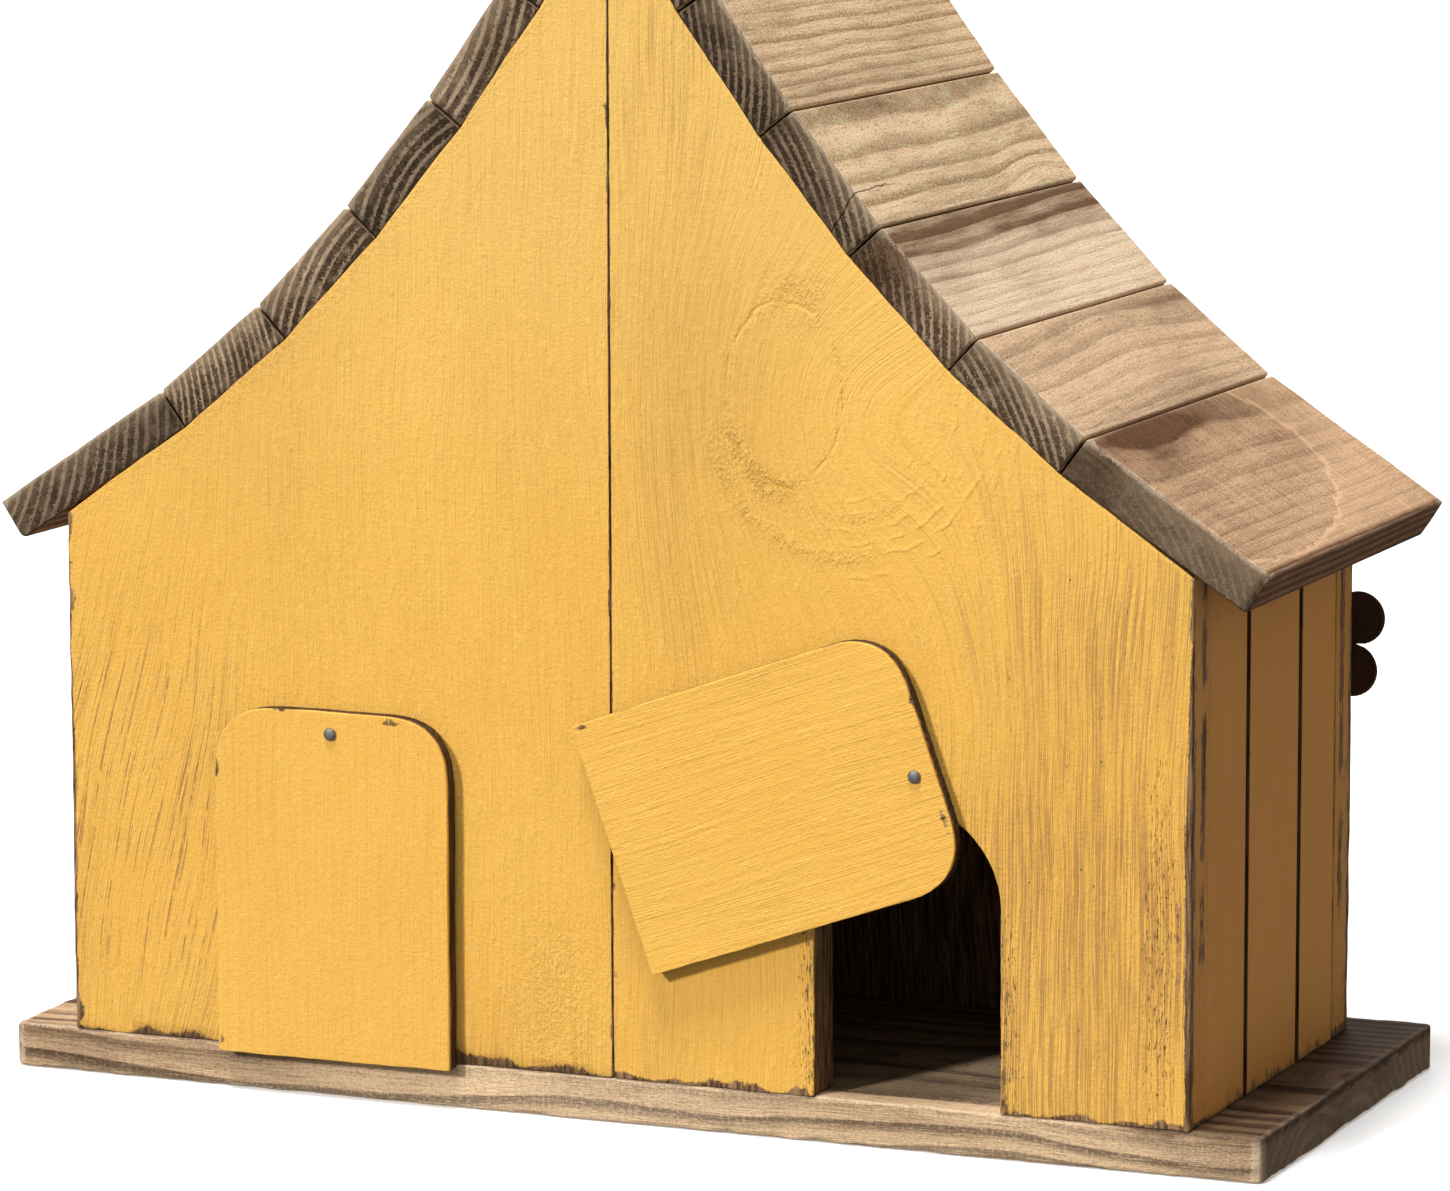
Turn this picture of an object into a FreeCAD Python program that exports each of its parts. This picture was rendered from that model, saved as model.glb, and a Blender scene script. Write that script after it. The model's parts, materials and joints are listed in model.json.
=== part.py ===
"""Two-chamber wooden birdhouse with a swooping slat roof and two pivoting clean-out doors.

Millimetres, +Z up. The origin is at the centre of the base board's underside.
-Y is the clean-out (back) side, +Y the entrance (front) side.
"""

import FreeCAD, Part
import math
import os

from FreeCAD import Vector

os.makedirs("parts", exist_ok=True)

# ---- Base board ----
BASE_WIDTH = 362.0
BASE_DEPTH = 147.0
BASE_THICKNESS = 12.0
BASE_CORNER_RADIUS = 3.0
Y_BACK = -BASE_DEPTH / 2

# ---- Walls ----
HOUSE_HALF_WIDTH = 161.2
HOUSE_DEPTH = 131.5
GABLE_THICKNESS = 13.5
SIDE_THICKNESS = 12.0
DIVIDER_THICKNESS = 12.0
DIVIDER_HEIGHT = 303.0
SEAM_GAP = 0.5          # between the two boards of a gable
GABLE_CORNER_Z = 154.7  # the gable's outer top corner
GABLE_EDGE_SAG = 0.5    # the gable's sawn edge dips this far below each slat
SIDE_TOP_GAP = 0.3      # below the eave slat
GROOVE_WIDTH = 3.2
GROOVE_DEPTH = 3.2
GROOVE_DISTANCES = (44.5, 87.5)  # groove centres, from the house's back face
REBATE_WIDTH = 1.2               # dark line where a side wall meets the front gable
REBATE_DEPTH = 2.0
Y_FRONT = Y_BACK + HOUSE_DEPTH
Y_INSIDE_BACK = Y_BACK + GABLE_THICKNESS
Y_INSIDE_FRONT = Y_FRONT - GABLE_THICKNESS
GABLE_MIDDLES = (Y_BACK + GABLE_THICKNESS / 2, Y_FRONT - GABLE_THICKNESS / 2)

# ---- Roof, one side, from the eave up to the ridge ----
SLAT_THICKNESS = 12.0
SLAT_LENGTH = BASE_DEPTH
EAVE_TIP = (181.8, 156.7)  # x, z of the eave slat's top outer corner
EAVE_WIDTH = 59.5
SLAT_WIDTH = 38.1          # across the outer face
SLAT_SLOPES = (33.3, 39.5, 45.9, 50.4, 54.0, 58.0)  # degrees from level

# ---- Clean-out doorways and doors ----
DOORWAY_CENTRE_X = 83.5
DOORWAY_RADIUS = 26.0      # half the doorway's width, and its arch
DOORWAY_SPRING_Z = 65.6
DOOR_WIDTH = 69.0
DOOR_HEIGHT = 95.0
DOOR_THICKNESS = 4.8
DOOR_CORNER_RADIUS = 18.0
DOOR_GAP = 0.5             # between the door and the wall
PIVOT_Z = 100.1
PIVOT_BELOW_TOP = 5.8
PIVOT_CLEARANCE = 0.05     # radial, door hole on nail
# side: pivot x, how far the door's middle lies left of the pivot, swing at rest (clockwise, degrees)
DOORS = {"left": (-79.8, 0.2, 0.0), "right": (87.7, 4.3, 70.5)}

# ---- Nails and pins ----
NAIL_RADIUS = 0.9
NAIL_HEAD_RADIUS = 1.75
NAIL_HEAD_HEIGHT = 0.9
NAIL_BITE = 11.0           # how deep a door nail goes into the gable
NAIL_HEAD_GAP = 0.15       # between the nail's head and the door
PIN_RADIUS = 0.6
PIN_SET = 1.5              # pins are driven this far below the surface
PIN_BITE = 12.0
GABLE_PIN_BITE = 18.0
GABLE_PIN_HEIGHTS = (35.0, 90.0, 140.0)
SEAM_PIN_HEIGHTS = (40.0, 150.0, 260.0)
SEAM_PIN_X = 3.0
BASE_NAIL_RADIUS = 1.0
BASE_NAIL_HEAD_RADIUS = 2.4
BASE_NAIL_HEAD_HEIGHT = 1.2
BASE_NAIL_LENGTH = 34.0
BASE_NAIL_RECESS = 0.2
BASE_NAIL_GABLE_XS = (30.0, 135.0)  # into each gable, both sides of the middle
BASE_NAIL_WALL_YS = (-35.0, 20.0)   # into the side walls and the divider
# where the pins cross each slat, as shares of its width from the lower edge
PIN_SHARES = [(0.45, 0.85)] + [(0.25, 0.75)] * 4 + [(0.15, 0.40)]

# ---- Entrance holes and ornament on the front ----
ENTRANCE_RADIUS = 16.0
ENTRANCE_X = 80.0
ENTRANCE_Z = 118.0
FLOWER_CENTRE = (148.0, 119.7)   # x, z
PETAL_COUNT = 6
PETAL_RADIUS = 7.3
PETAL_RING_RADIUS = 14.6
PETAL_FIRST_ANGLE = 22.0         # degrees
FLOWER_STANDOFF = 5.0
FLOWER_SHEET = 1.2
SPACER_RADIUS = 3.0
FLOWER_NAIL_RADIUS = 1.0
FLOWER_NAIL_BITE = 10.0
FLOWER_BUTTON_RADIUS = 6.5
FLOWER_BUTTON_HEIGHT = 3.2

CUT_OVERLAP = 1.0  # how far a drill runs past the faces that it opens
SIDES = {"left": -1, "right": 1}
ALONG_Y = Vector(0, 1, 0)
UP = Vector(0, 0, 1)


def save(name, shape):
    """Write one node's STEP file."""
    shape.exportStep(f"parts/{name}.step")


def slope_normal(slope):
    """Outward unit normal (x, z) of a right-hand roof face at this slope."""
    angle = math.radians(slope)
    return math.sin(angle), math.cos(angle)


def outer_profile():
    """(x, z) of the roof's outer corners on the right-hand side, eave tip to ridge."""
    points = [EAVE_TIP]
    widths = [EAVE_WIDTH] + [SLAT_WIDTH] * (len(SLAT_SLOPES) - 2)
    for slope, width in zip(SLAT_SLOPES, widths):
        x, z = points[-1]
        angle = math.radians(slope)
        points.append((x - width * math.cos(angle), z + width * math.sin(angle)))
    x, z = points[-1]
    points.append((0.0, z + x * math.tan(math.radians(SLAT_SLOPES[-1]))))
    return points


def inner_profile(outer):
    """(x, z) of the slats' lower corners: the outer ones moved in by the thickness, on the mitres."""
    tip_x, tip_z = outer[0]
    normal_x, normal_z = slope_normal(SLAT_SLOPES[0])
    points = [(tip_x - SLAT_THICKNESS * normal_x, tip_z - SLAT_THICKNESS * normal_z)]
    for corner, below, above in zip(outer[1:-1], SLAT_SLOPES, SLAT_SLOPES[1:]):
        reach = SLAT_THICKNESS / math.cos(math.radians((above - below) / 2))
        normal_x, normal_z = slope_normal((above + below) / 2)
        points.append((corner[0] - reach * normal_x, corner[1] - reach * normal_z))
    drop = SLAT_THICKNESS / math.cos(math.radians(SLAT_SLOPES[-1]))
    points.append((0.0, outer[-1][1] - drop))
    return points


OUTER = outer_profile()
INNER = inner_profile(OUTER)


def underside_z(x):
    """Height of the slats' underside at a distance x from the middle."""
    for (x_low, z_low), (x_high, z_high) in zip(INNER, INNER[1:]):
        if x_high <= x <= x_low:
            return z_low + (z_high - z_low) * (x_low - x) / (x_low - x_high)
    raise ValueError(x)


def polygon_prism(points, y_start, depth):
    """A prism along +Y over an (x, z) polygon."""
    corners = [Vector(x, y_start, z) for x, z in points]
    face = Part.Face(Part.makePolygon(corners + corners[:1]))
    return face.extrude(Vector(0, depth, 0))


def mirrored(shape, side):
    """The right-hand shape, or its mirror image in the middle plane for the left."""
    if side == "right":
        return shape
    return shape.mirror(Vector(0, 0, 0), Vector(1, 0, 0))


def cylinder_y(x, z, radius, y_start, length):
    """A cylinder along +Y."""
    return Part.makeCylinder(radius, length, Vector(x, y_start, z), ALONG_Y)


def drill_y(x, z, radius, y_start, depth):
    """A cutter along +Y that runs a little past both faces of what it drills."""
    return cylinder_y(x, z, radius, y_start - CUT_OVERLAP, depth + 2 * CUT_OVERLAP)


def make_base():
    """The base board with its upright corners eased."""
    corner = Vector(-BASE_WIDTH / 2, Y_BACK, 0)
    board = Part.makeBox(BASE_WIDTH, BASE_DEPTH, BASE_THICKNESS, corner)
    upright = [e for e in board.Edges if abs(e.tangentAt(e.FirstParameter).z) > 0.9]
    return board.makeFillet(BASE_CORNER_RADIUS, upright)


def gable_outline(y):
    """Wire around the right-hand board of a gable: straight sides and a sawn arc under each slat."""
    inner_x = SEAM_GAP / 2
    top = [(HOUSE_HALF_WIDTH, GABLE_CORNER_Z)] + INNER[1:-1] + [(inner_x, underside_z(inner_x))]
    edges = []
    for (xa, za), (xb, zb) in zip(top, top[1:]):
        span = math.hypot(xb - xa, zb - za)
        mid_x = (xa + xb) / 2 - GABLE_EDGE_SAG * (zb - za) / span
        mid_z = (za + zb) / 2 - GABLE_EDGE_SAG * (xa - xb) / span
        ends = Vector(xa, y, za), Vector(mid_x, y, mid_z), Vector(xb, y, zb)
        edges.append(Part.Arc(*ends).toShape())
    low_inner = Vector(inner_x, y, BASE_THICKNESS)
    low_outer = Vector(HOUSE_HALF_WIDTH, y, BASE_THICKNESS)
    edges.append(Part.makeLine(Vector(top[-1][0], y, top[-1][1]), low_inner))
    edges.append(Part.makeLine(low_inner, low_outer))
    edges.append(Part.makeLine(low_outer, Vector(top[0][0], y, top[0][1])))
    return Part.Wire(edges)


def make_gable_board(y):
    """One right-hand gable board, its back face at y."""
    return Part.Face(gable_outline(y)).extrude(Vector(0, GABLE_THICKNESS, 0))


def make_doorway():
    """Cutter for the right-hand clean-out doorway, longer than the gable is thick."""
    depth = GABLE_THICKNESS + 2 * CUT_OVERLAP
    y = Y_BACK - CUT_OVERLAP
    height = DOORWAY_SPRING_Z - BASE_THICKNESS
    corner = Vector(DOORWAY_CENTRE_X - DOORWAY_RADIUS, y, BASE_THICKNESS)
    opening = Part.makeBox(2 * DOORWAY_RADIUS, depth, height, corner)
    arch = cylinder_y(DOORWAY_CENTRE_X, DOORWAY_SPRING_Z, DOORWAY_RADIUS, y, depth)
    return opening.fuse(arch)


def make_side_wall():
    """The right-hand side wall: a bevelled top, two sawn grooves outside and a rebate at its front edge."""
    outer_x = HOUSE_HALF_WIDTH
    inner_x = outer_x - SIDE_THICKNESS
    outline = [
        (inner_x, BASE_THICKNESS),
        (outer_x, BASE_THICKNESS),
        (outer_x, underside_z(outer_x) - SIDE_TOP_GAP),
        (inner_x, underside_z(inner_x) - SIDE_TOP_GAP),
    ]
    wall = polygon_prism(outline, Y_INSIDE_BACK, Y_INSIDE_FRONT - Y_INSIDE_BACK)
    for distance in GROOVE_DISTANCES:
        corner = Vector(outer_x - GROOVE_DEPTH, Y_BACK + distance - GROOVE_WIDTH / 2, 0)
        wall = wall.cut(Part.makeBox(2 * GROOVE_DEPTH, GROOVE_WIDTH, EAVE_TIP[1], corner))
    corner = Vector(outer_x - REBATE_DEPTH, Y_INSIDE_FRONT - REBATE_WIDTH, 0)
    return wall.cut(Part.makeBox(2 * REBATE_DEPTH, 2 * REBATE_WIDTH, EAVE_TIP[1], corner))


def make_divider():
    """The upright partition between the two nest chambers."""
    corner = Vector(-DIVIDER_THICKNESS / 2, Y_INSIDE_BACK, BASE_THICKNESS)
    depth = Y_INSIDE_FRONT - Y_INSIDE_BACK
    return Part.makeBox(DIVIDER_THICKNESS, depth, DIVIDER_HEIGHT, corner)


def make_slat(index):
    """A right-hand slat with mitred long edges."""
    outline = [INNER[index], OUTER[index], OUTER[index + 1], INNER[index + 1]]
    return polygon_prism(outline, Y_BACK, SLAT_LENGTH)


def make_roof_pins():
    """Headless pins through every right-hand slat into both gables."""
    pins = []
    lift = SLAT_THICKNESS - PIN_SET
    for index, slope in enumerate(SLAT_SLOPES):
        normal_x, normal_z = slope_normal(slope)
        inward = Vector(-normal_x, 0, -normal_z)
        (low_x, low_z), (high_x, high_z) = INNER[index], INNER[index + 1]
        for share in PIN_SHARES[index]:
            x = low_x + share * (high_x - low_x) + lift * normal_x
            z = low_z + share * (high_z - low_z) + lift * normal_z
            for y in GABLE_MIDDLES:
                pins.append(Part.makeCylinder(PIN_RADIUS, lift + PIN_BITE, Vector(x, y, z), inward))
    return pins


def make_gable_pins():
    """Pins through both gables into the side walls and the divider."""
    places = [(HOUSE_HALF_WIDTH - SIDE_THICKNESS / 2, z) for z in GABLE_PIN_HEIGHTS]
    places += [(SEAM_PIN_X, z) for z in SEAM_PIN_HEIGHTS]
    length = GABLE_THICKNESS - PIN_SET + GABLE_PIN_BITE
    pins = []
    for x, z in places:
        for sign in SIDES.values():
            pins.append(cylinder_y(sign * x, z, PIN_RADIUS, Y_BACK + PIN_SET, length))
            pins.append(cylinder_y(sign * x, z, PIN_RADIUS, Y_FRONT - PIN_SET - length, length))
    return pins


def make_base_nails():
    """Nails driven up through the base into the gables, the side walls and the divider."""
    places = [(sign * x, y) for sign in SIDES.values() for x in BASE_NAIL_GABLE_XS for y in GABLE_MIDDLES]
    wall_x = HOUSE_HALF_WIDTH - SIDE_THICKNESS / 2
    places += [(x, y) for x in (-wall_x, 0.0, wall_x) for y in BASE_NAIL_WALL_YS]
    nails = []
    for x, y in places:
        foot = Vector(x, y, BASE_NAIL_RECESS)
        shank = Part.makeCylinder(BASE_NAIL_RADIUS, BASE_NAIL_LENGTH, foot, UP)
        head = Part.makeCylinder(BASE_NAIL_HEAD_RADIUS, BASE_NAIL_HEAD_HEIGHT, foot, UP)
        nails.append(shank.fuse(head).removeSplitter())
    return nails


def base_nail_recesses(nails):
    """Short cutters that open each nail's seat through the base's underside."""
    recesses = []
    for nail in nails:
        box = nail.BoundBox
        foot = Vector(box.Center.x, box.Center.y, -BASE_NAIL_RECESS)
        recesses.append(Part.makeCylinder(BASE_NAIL_HEAD_RADIUS, 2 * BASE_NAIL_RECESS, foot, UP))
    return recesses


def make_door_nail(pivot_x):
    """The round-headed nail that a door swings on."""
    back_of_head = Y_BACK - DOOR_GAP - DOOR_THICKNESS - NAIL_HEAD_GAP
    tip = Y_BACK + NAIL_BITE
    shank = cylinder_y(pivot_x, PIVOT_Z, NAIL_RADIUS, back_of_head, tip - back_of_head)
    rise = NAIL_HEAD_HEIGHT
    sphere_radius = (NAIL_HEAD_RADIUS ** 2 + rise ** 2) / (2 * rise)
    sphere = Part.makeSphere(sphere_radius, Vector(pivot_x, back_of_head - rise + sphere_radius, PIVOT_Z))
    block = cylinder_y(pivot_x, PIVOT_Z, NAIL_HEAD_RADIUS, back_of_head - rise, rise)
    return shank.fuse(sphere.common(block)).removeSplitter()


def make_door(pivot_x, middle_offset, swing):
    """A clean-out door with two rounded top corners, at its rest swing about the pivot."""
    y = Y_BACK - DOOR_GAP - DOOR_THICKNESS
    top = PIVOT_Z + PIVOT_BELOW_TOP
    corner = Vector(pivot_x - middle_offset - DOOR_WIDTH / 2, y, top - DOOR_HEIGHT)
    board = Part.makeBox(DOOR_WIDTH, DOOR_THICKNESS, DOOR_HEIGHT, corner)
    top_corners = [e for e in board.Edges if abs(e.tangentAt(0).y) > 0.9 and e.CenterOfMass.z > PIVOT_Z]
    board = board.makeFillet(DOOR_CORNER_RADIUS, top_corners)
    door = board.cut(drill_y(pivot_x, PIVOT_Z, NAIL_RADIUS + PIVOT_CLEARANCE, y, DOOR_THICKNESS))
    door.rotate(Vector(pivot_x, 0, PIVOT_Z), ALONG_Y, swing)
    return door


def make_petals():
    """A sheet flower: round petals on a ring around a round middle, with a nail hole."""
    x, z = FLOWER_CENTRE
    y = Y_FRONT + FLOWER_STANDOFF
    sheet = cylinder_y(x, z, PETAL_RING_RADIUS, y, FLOWER_SHEET)
    for petal in range(PETAL_COUNT):
        angle = math.radians(PETAL_FIRST_ANGLE + 360.0 / PETAL_COUNT * petal)
        petal_x = x + PETAL_RING_RADIUS * math.cos(angle)
        petal_z = z + PETAL_RING_RADIUS * math.sin(angle)
        sheet = sheet.fuse(cylinder_y(petal_x, petal_z, PETAL_RADIUS, y, FLOWER_SHEET))
    return sheet.removeSplitter().cut(drill_y(x, z, FLOWER_NAIL_RADIUS, y, FLOWER_SHEET))


def make_flower_spacer():
    """The short sleeve that holds the flower off the wall."""
    x, z = FLOWER_CENTRE
    sleeve = cylinder_y(x, z, SPACER_RADIUS, Y_FRONT, FLOWER_STANDOFF)
    return sleeve.cut(drill_y(x, z, FLOWER_NAIL_RADIUS, Y_FRONT, FLOWER_STANDOFF))


def make_flower_nail():
    """The nail whose domed head is the flower's middle."""
    x, z = FLOWER_CENTRE
    under_head = Y_FRONT + FLOWER_STANDOFF + FLOWER_SHEET
    tip = Y_FRONT - FLOWER_NAIL_BITE
    shank = cylinder_y(x, z, FLOWER_NAIL_RADIUS, tip, under_head - tip)
    rise = FLOWER_BUTTON_HEIGHT
    sphere_radius = (FLOWER_BUTTON_RADIUS ** 2 + rise ** 2) / (2 * rise)
    sphere = Part.makeSphere(sphere_radius, Vector(x, under_head + rise - sphere_radius, z))
    block = cylinder_y(x, z, FLOWER_BUTTON_RADIUS, under_head, rise)
    return shank.fuse(sphere.common(block)).removeSplitter()


def cut_all(shape, tools):
    """The shape with the tools that reach it cut away."""
    near = [tool for tool in tools if tool.BoundBox.intersect(shape.BoundBox)]
    return shape.cut(near) if near else shape


roof_pins = {side: [mirrored(pin, side) for pin in make_roof_pins()] for side in SIDES}
gable_pins = make_gable_pins()
base_nails = make_base_nails()
door_nails = {side: make_door_nail(DOORS[side][0]) for side in SIDES}
flower_nail = make_flower_nail()
all_fasteners = roof_pins["left"] + roof_pins["right"] + gable_pins + base_nails
all_fasteners += list(door_nails.values()) + [flower_nail]

boards = {"base_board": make_base().cut(base_nail_recesses(base_nails))}
entrance = cylinder_y(ENTRANCE_X, ENTRANCE_Z, ENTRANCE_RADIUS, 0, BASE_DEPTH)
for side in SIDES:
    boards[f"back_gable_{side}"] = mirrored(make_gable_board(Y_BACK).cut(make_doorway()), side)
    boards[f"front_gable_{side}"] = mirrored(make_gable_board(Y_INSIDE_FRONT).cut(entrance), side)
    boards[f"side_wall_{side}"] = mirrored(make_side_wall(), side)
    boards[f"eave_slat_{side}"] = mirrored(make_slat(0), side)
    for index in range(1, len(SLAT_SLOPES)):
        boards[f"roof_slat_{side}_{index}"] = mirrored(make_slat(index), side)
boards["divider"] = make_divider()

for name, board in boards.items():
    save(name, cut_all(board, all_fasteners))
for side in SIDES:
    save(f"cleanout_door_{side}", make_door(*DOORS[side]))
    save(f"door_nail_{side}", door_nails[side])
    save(f"roof_pins_{side}", Part.makeCompound(roof_pins[side]))
save("gable_pins", Part.makeCompound(gable_pins))
save("base_nails", Part.makeCompound(base_nails))
save("flower_petals", make_petals())
save("flower_spacer", make_flower_spacer())
save("flower_nail", flower_nail)
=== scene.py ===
import bmesh
import bpy
import math
import numpy as np
from mathutils import Matrix, Vector, geometry, kdtree, noise
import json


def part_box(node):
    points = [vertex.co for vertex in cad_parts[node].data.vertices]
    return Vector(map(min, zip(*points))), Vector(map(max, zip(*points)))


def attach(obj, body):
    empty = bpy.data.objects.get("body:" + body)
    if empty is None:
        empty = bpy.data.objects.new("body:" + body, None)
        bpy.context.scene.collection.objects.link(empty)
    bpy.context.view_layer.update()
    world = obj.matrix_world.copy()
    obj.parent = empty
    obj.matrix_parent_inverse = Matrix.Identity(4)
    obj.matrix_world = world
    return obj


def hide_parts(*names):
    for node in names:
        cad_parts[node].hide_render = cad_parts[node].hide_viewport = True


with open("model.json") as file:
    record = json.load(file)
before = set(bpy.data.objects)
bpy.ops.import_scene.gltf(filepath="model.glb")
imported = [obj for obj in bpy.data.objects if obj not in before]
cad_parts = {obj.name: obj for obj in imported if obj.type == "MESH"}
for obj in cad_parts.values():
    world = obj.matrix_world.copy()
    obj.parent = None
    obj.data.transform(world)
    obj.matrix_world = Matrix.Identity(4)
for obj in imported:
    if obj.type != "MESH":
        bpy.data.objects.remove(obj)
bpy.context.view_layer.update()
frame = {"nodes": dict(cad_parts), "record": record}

# Lengths in this script are millimetres in the row frame, and MM turns them into Blender's metres.
MM = 0.001

# ---- Driving sizes: the roof's section and the doors, as the design has them ----
SLAT_THICKNESS = 12.0
EAVE_TIP = (181.8, 156.7)
EAVE_WIDTH = 59.5
SLAT_WIDTH = 38.1
SLAT_SLOPES = (33.3, 39.5, 45.9, 50.4, 54.0, 58.0)
GABLE_CORNER_Z = 154.7
GABLE_EDGE_SAG = -0.35
SEAM_CLOSING = {"back": 0.16, "front": 0.35}
GABLE_PEAK_RISE = 0.5
SLAT_GAP = 0.38
DOORWAY_CENTRE_X = 83.5
DOORWAY_RADIUS = 26.0
DOORWAY_SPRING_Z = 65.6
DOOR_CORNER_RADIUS = 18.0
DOOR_SIZE = (69.0, 95.0)
GROOVE_SIZE = 3.2
GROOVE_DISTANCES = (44.5, 87.5)
SEAM_GROOVE = (1.2, 2.0)
NAIL_SEAT_RADIUS = 2.5
GABLE_NAIL_XS, GABLE_NAIL_YS = (-135.0, -30.0, 30.0, 135.0), (-66.75, 51.25)
WALL_NAIL_XS, WALL_NAIL_YS = (-155.2, 0.0, 155.2), (-35.0, 20.0)
DOOR_NAIL_DROP = 5.8
ENTRANCE = (80.0, 118.0, 16.0)
FLOWER_FIRST_ANGLE = 22.0
PETAL_RING, PETAL_RADIUS = 14.6, 7.3

# ---- Camera: the photograph's viewing angle ----
CAMERA_PLACE = (701.88, -1638.53, 405.70)
CAMERA_YAW, CAMERA_PITCH, CAMERA_ROLL = 23.153, 8.763, 0.165
CAMERA_LENS = 164.448

SIDES = {"left": -1, "right": 1}


def box_mm(node):
    """A CAD node's lowest and highest corners, in millimetres."""
    low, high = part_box(node)
    return low / MM, high / MM


# ---------------------------------------------------------------- outlines

def resampled(loop, spacing):
    """Points along a closed loop, no further apart than the spacing, keeping the loop's own points."""
    points = []
    for start, end in zip(loop, np.roll(loop, -1, axis=0)):
        pieces = max(1, math.ceil(np.linalg.norm(end - start) / spacing))
        points += [start + (end - start) * k / pieces for k in range(pieces)]
    return np.array(points)


def rounded(corners, radii, steps=4):
    """A closed polygon with each corner turned into an arc of its radius."""
    corners = np.array(corners, float)
    radii = np.broadcast_to(radii, len(corners))
    points = []
    for index, radius in enumerate(radii):
        corner = corners[index]
        back = corners[index - 1] - corner
        ahead = corners[(index + 1) % len(corners)] - corner
        back_length, ahead_length = np.linalg.norm(back), np.linalg.norm(ahead)
        back, ahead = back / back_length, ahead / ahead_length
        half = math.acos(np.clip(back @ ahead, -1, 1)) / 2
        if radius <= 0 or half > math.radians(80):
            points.append(corner)
            continue
        run = min(radius / math.tan(half), 0.49 * back_length, 0.49 * ahead_length)
        for share in np.linspace(0, 1, steps + 1):
            middle = (1 - share) ** 2 * (corner + back * run) + 2 * share * (1 - share) * corner
            points.append(middle + share ** 2 * (corner + ahead * run))
    return np.array(points)


def circle(x, z, radius, count, clockwise=False):
    """A closed round loop."""
    angles = np.linspace(0, 2 * math.pi, count, endpoint=False)
    if clockwise:
        angles = -angles
    return np.stack([x + radius * np.cos(angles), z + radius * np.sin(angles)], axis=1)


def slope_normal(slope):
    angle = math.radians(slope)
    return np.array([math.sin(angle), math.cos(angle)])


def roof_profile():
    """Outer and inner (x, z) corners of the right-hand slats, eave tip to ridge."""
    outer = [np.array(EAVE_TIP)]
    for slope, width in zip(SLAT_SLOPES, [EAVE_WIDTH] + [SLAT_WIDTH] * (len(SLAT_SLOPES) - 2)):
        angle = math.radians(slope)
        outer.append(outer[-1] + width * np.array([-math.cos(angle), math.sin(angle)]))
    last = math.radians(SLAT_SLOPES[-1])
    outer.append(np.array([0.0, outer[-1][1] + outer[-1][0] * math.tan(last)]))
    inner = [outer[0] - SLAT_THICKNESS * slope_normal(SLAT_SLOPES[0])]
    for corner, below, above in zip(outer[1:-1], SLAT_SLOPES, SLAT_SLOPES[1:]):
        reach = SLAT_THICKNESS / math.cos(math.radians((above - below) / 2))
        inner.append(corner - reach * slope_normal((above + below) / 2))
    inner.append(outer[-1] - np.array([0, SLAT_THICKNESS / math.cos(last)]))
    return outer, inner


OUTER, INNER = roof_profile()


def underside_z(x):
    """Height of the slats' underside over a distance x from the middle."""
    xs = [point[0] for point in INNER][::-1]
    zs = [point[1] for point in INNER][::-1]
    return float(np.interp(x, xs, zs))


# ---------------------------------------------------------------- boards

def value_noise(points, scale, seed):
    """Smooth noise from -1 to 1 at each point, with features about this many millimetres across."""
    shift = Vector((seed * 17.31, seed * 5.77, seed * 11.93))
    return np.array([noise.noise(Vector(p) / scale + shift) for p in points])


def fill_cap(loops, spacing, margin):
    """Triangles that fill the loops, with a grid of inner points. Returns the inner points and the triangles."""
    edges, rim = [], []
    for loop in loops:
        start = len(rim)
        count = len(loop)
        edges += [(start + k, start + (k + 1) % count) for k in range(count)]
        rim += [Vector(p) for p in loop]
    flat = np.array([tuple(p) for p in rim])
    low, high = flat.min(0) + spacing / 2, flat.max(0)
    grid = np.stack(np.meshgrid(np.arange(low[0], high[0], spacing), np.arange(low[1], high[1], spacing)), -1)
    grid = grid.reshape(-1, 2)
    tree = kdtree.KDTree(len(flat))
    for index, point in enumerate(flat):
        tree.insert((*point, 0), index)
    tree.balance()
    grid = grid[inside(grid, loops)]
    distance = np.array([tree.find((*p, 0))[2] for p in grid]) if len(grid) else np.zeros(0)
    grid, distance = grid[distance > margin], distance[distance > margin]
    points = rim + [Vector(p) for p in grid]
    made = geometry.delaunay_2d_cdt(points, edges, [], 0, 1e-6)
    source = [ids[0] if ids else -1 for ids in made[3]]
    triangles = np.array([[source[v] for v in face] for face in made[2]])
    triangles = triangles[(triangles >= 0).all(1)]
    placed = np.array([tuple(p) for p in points])
    middles = placed[triangles].mean(1)
    return grid, distance, triangles[inside(middles, loops)]


def inside(points, loops):
    """Whether each point lies inside the loops, by the even-odd rule."""
    crossed = np.zeros(len(points), bool)
    for loop in loops:
        loop = np.array(loop)
        for (xa, ya), (xb, yb) in zip(loop, np.roll(loop, -1, axis=0)):
            if ya == yb:
                continue
            spans = (points[:, 1] < ya) != (points[:, 1] < yb)
            reach = (xb - xa) * (points[:, 1] - ya) / (yb - ya) + xa
            crossed ^= spans & (points[:, 0] < reach)
    return crossed


def loop_normals(loop):
    """Unit normals of a loop in its plane, pointing out of the material."""
    ahead = np.roll(loop, -1, axis=0) - loop
    behind = loop - np.roll(loop, 1, axis=0)
    ahead /= np.linalg.norm(ahead, axis=1, keepdims=True) + 1e-12
    behind /= np.linalg.norm(behind, axis=1, keepdims=True) + 1e-12
    tangent = ahead + behind
    tangent /= np.linalg.norm(tangent, axis=1, keepdims=True) + 1e-12
    turn = np.abs(ahead[:, 0] * behind[:, 1] - ahead[:, 1] * behind[:, 0])
    return np.stack([tangent[:, 1], -tangent[:, 0]], 1), turn > 0.2


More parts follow.
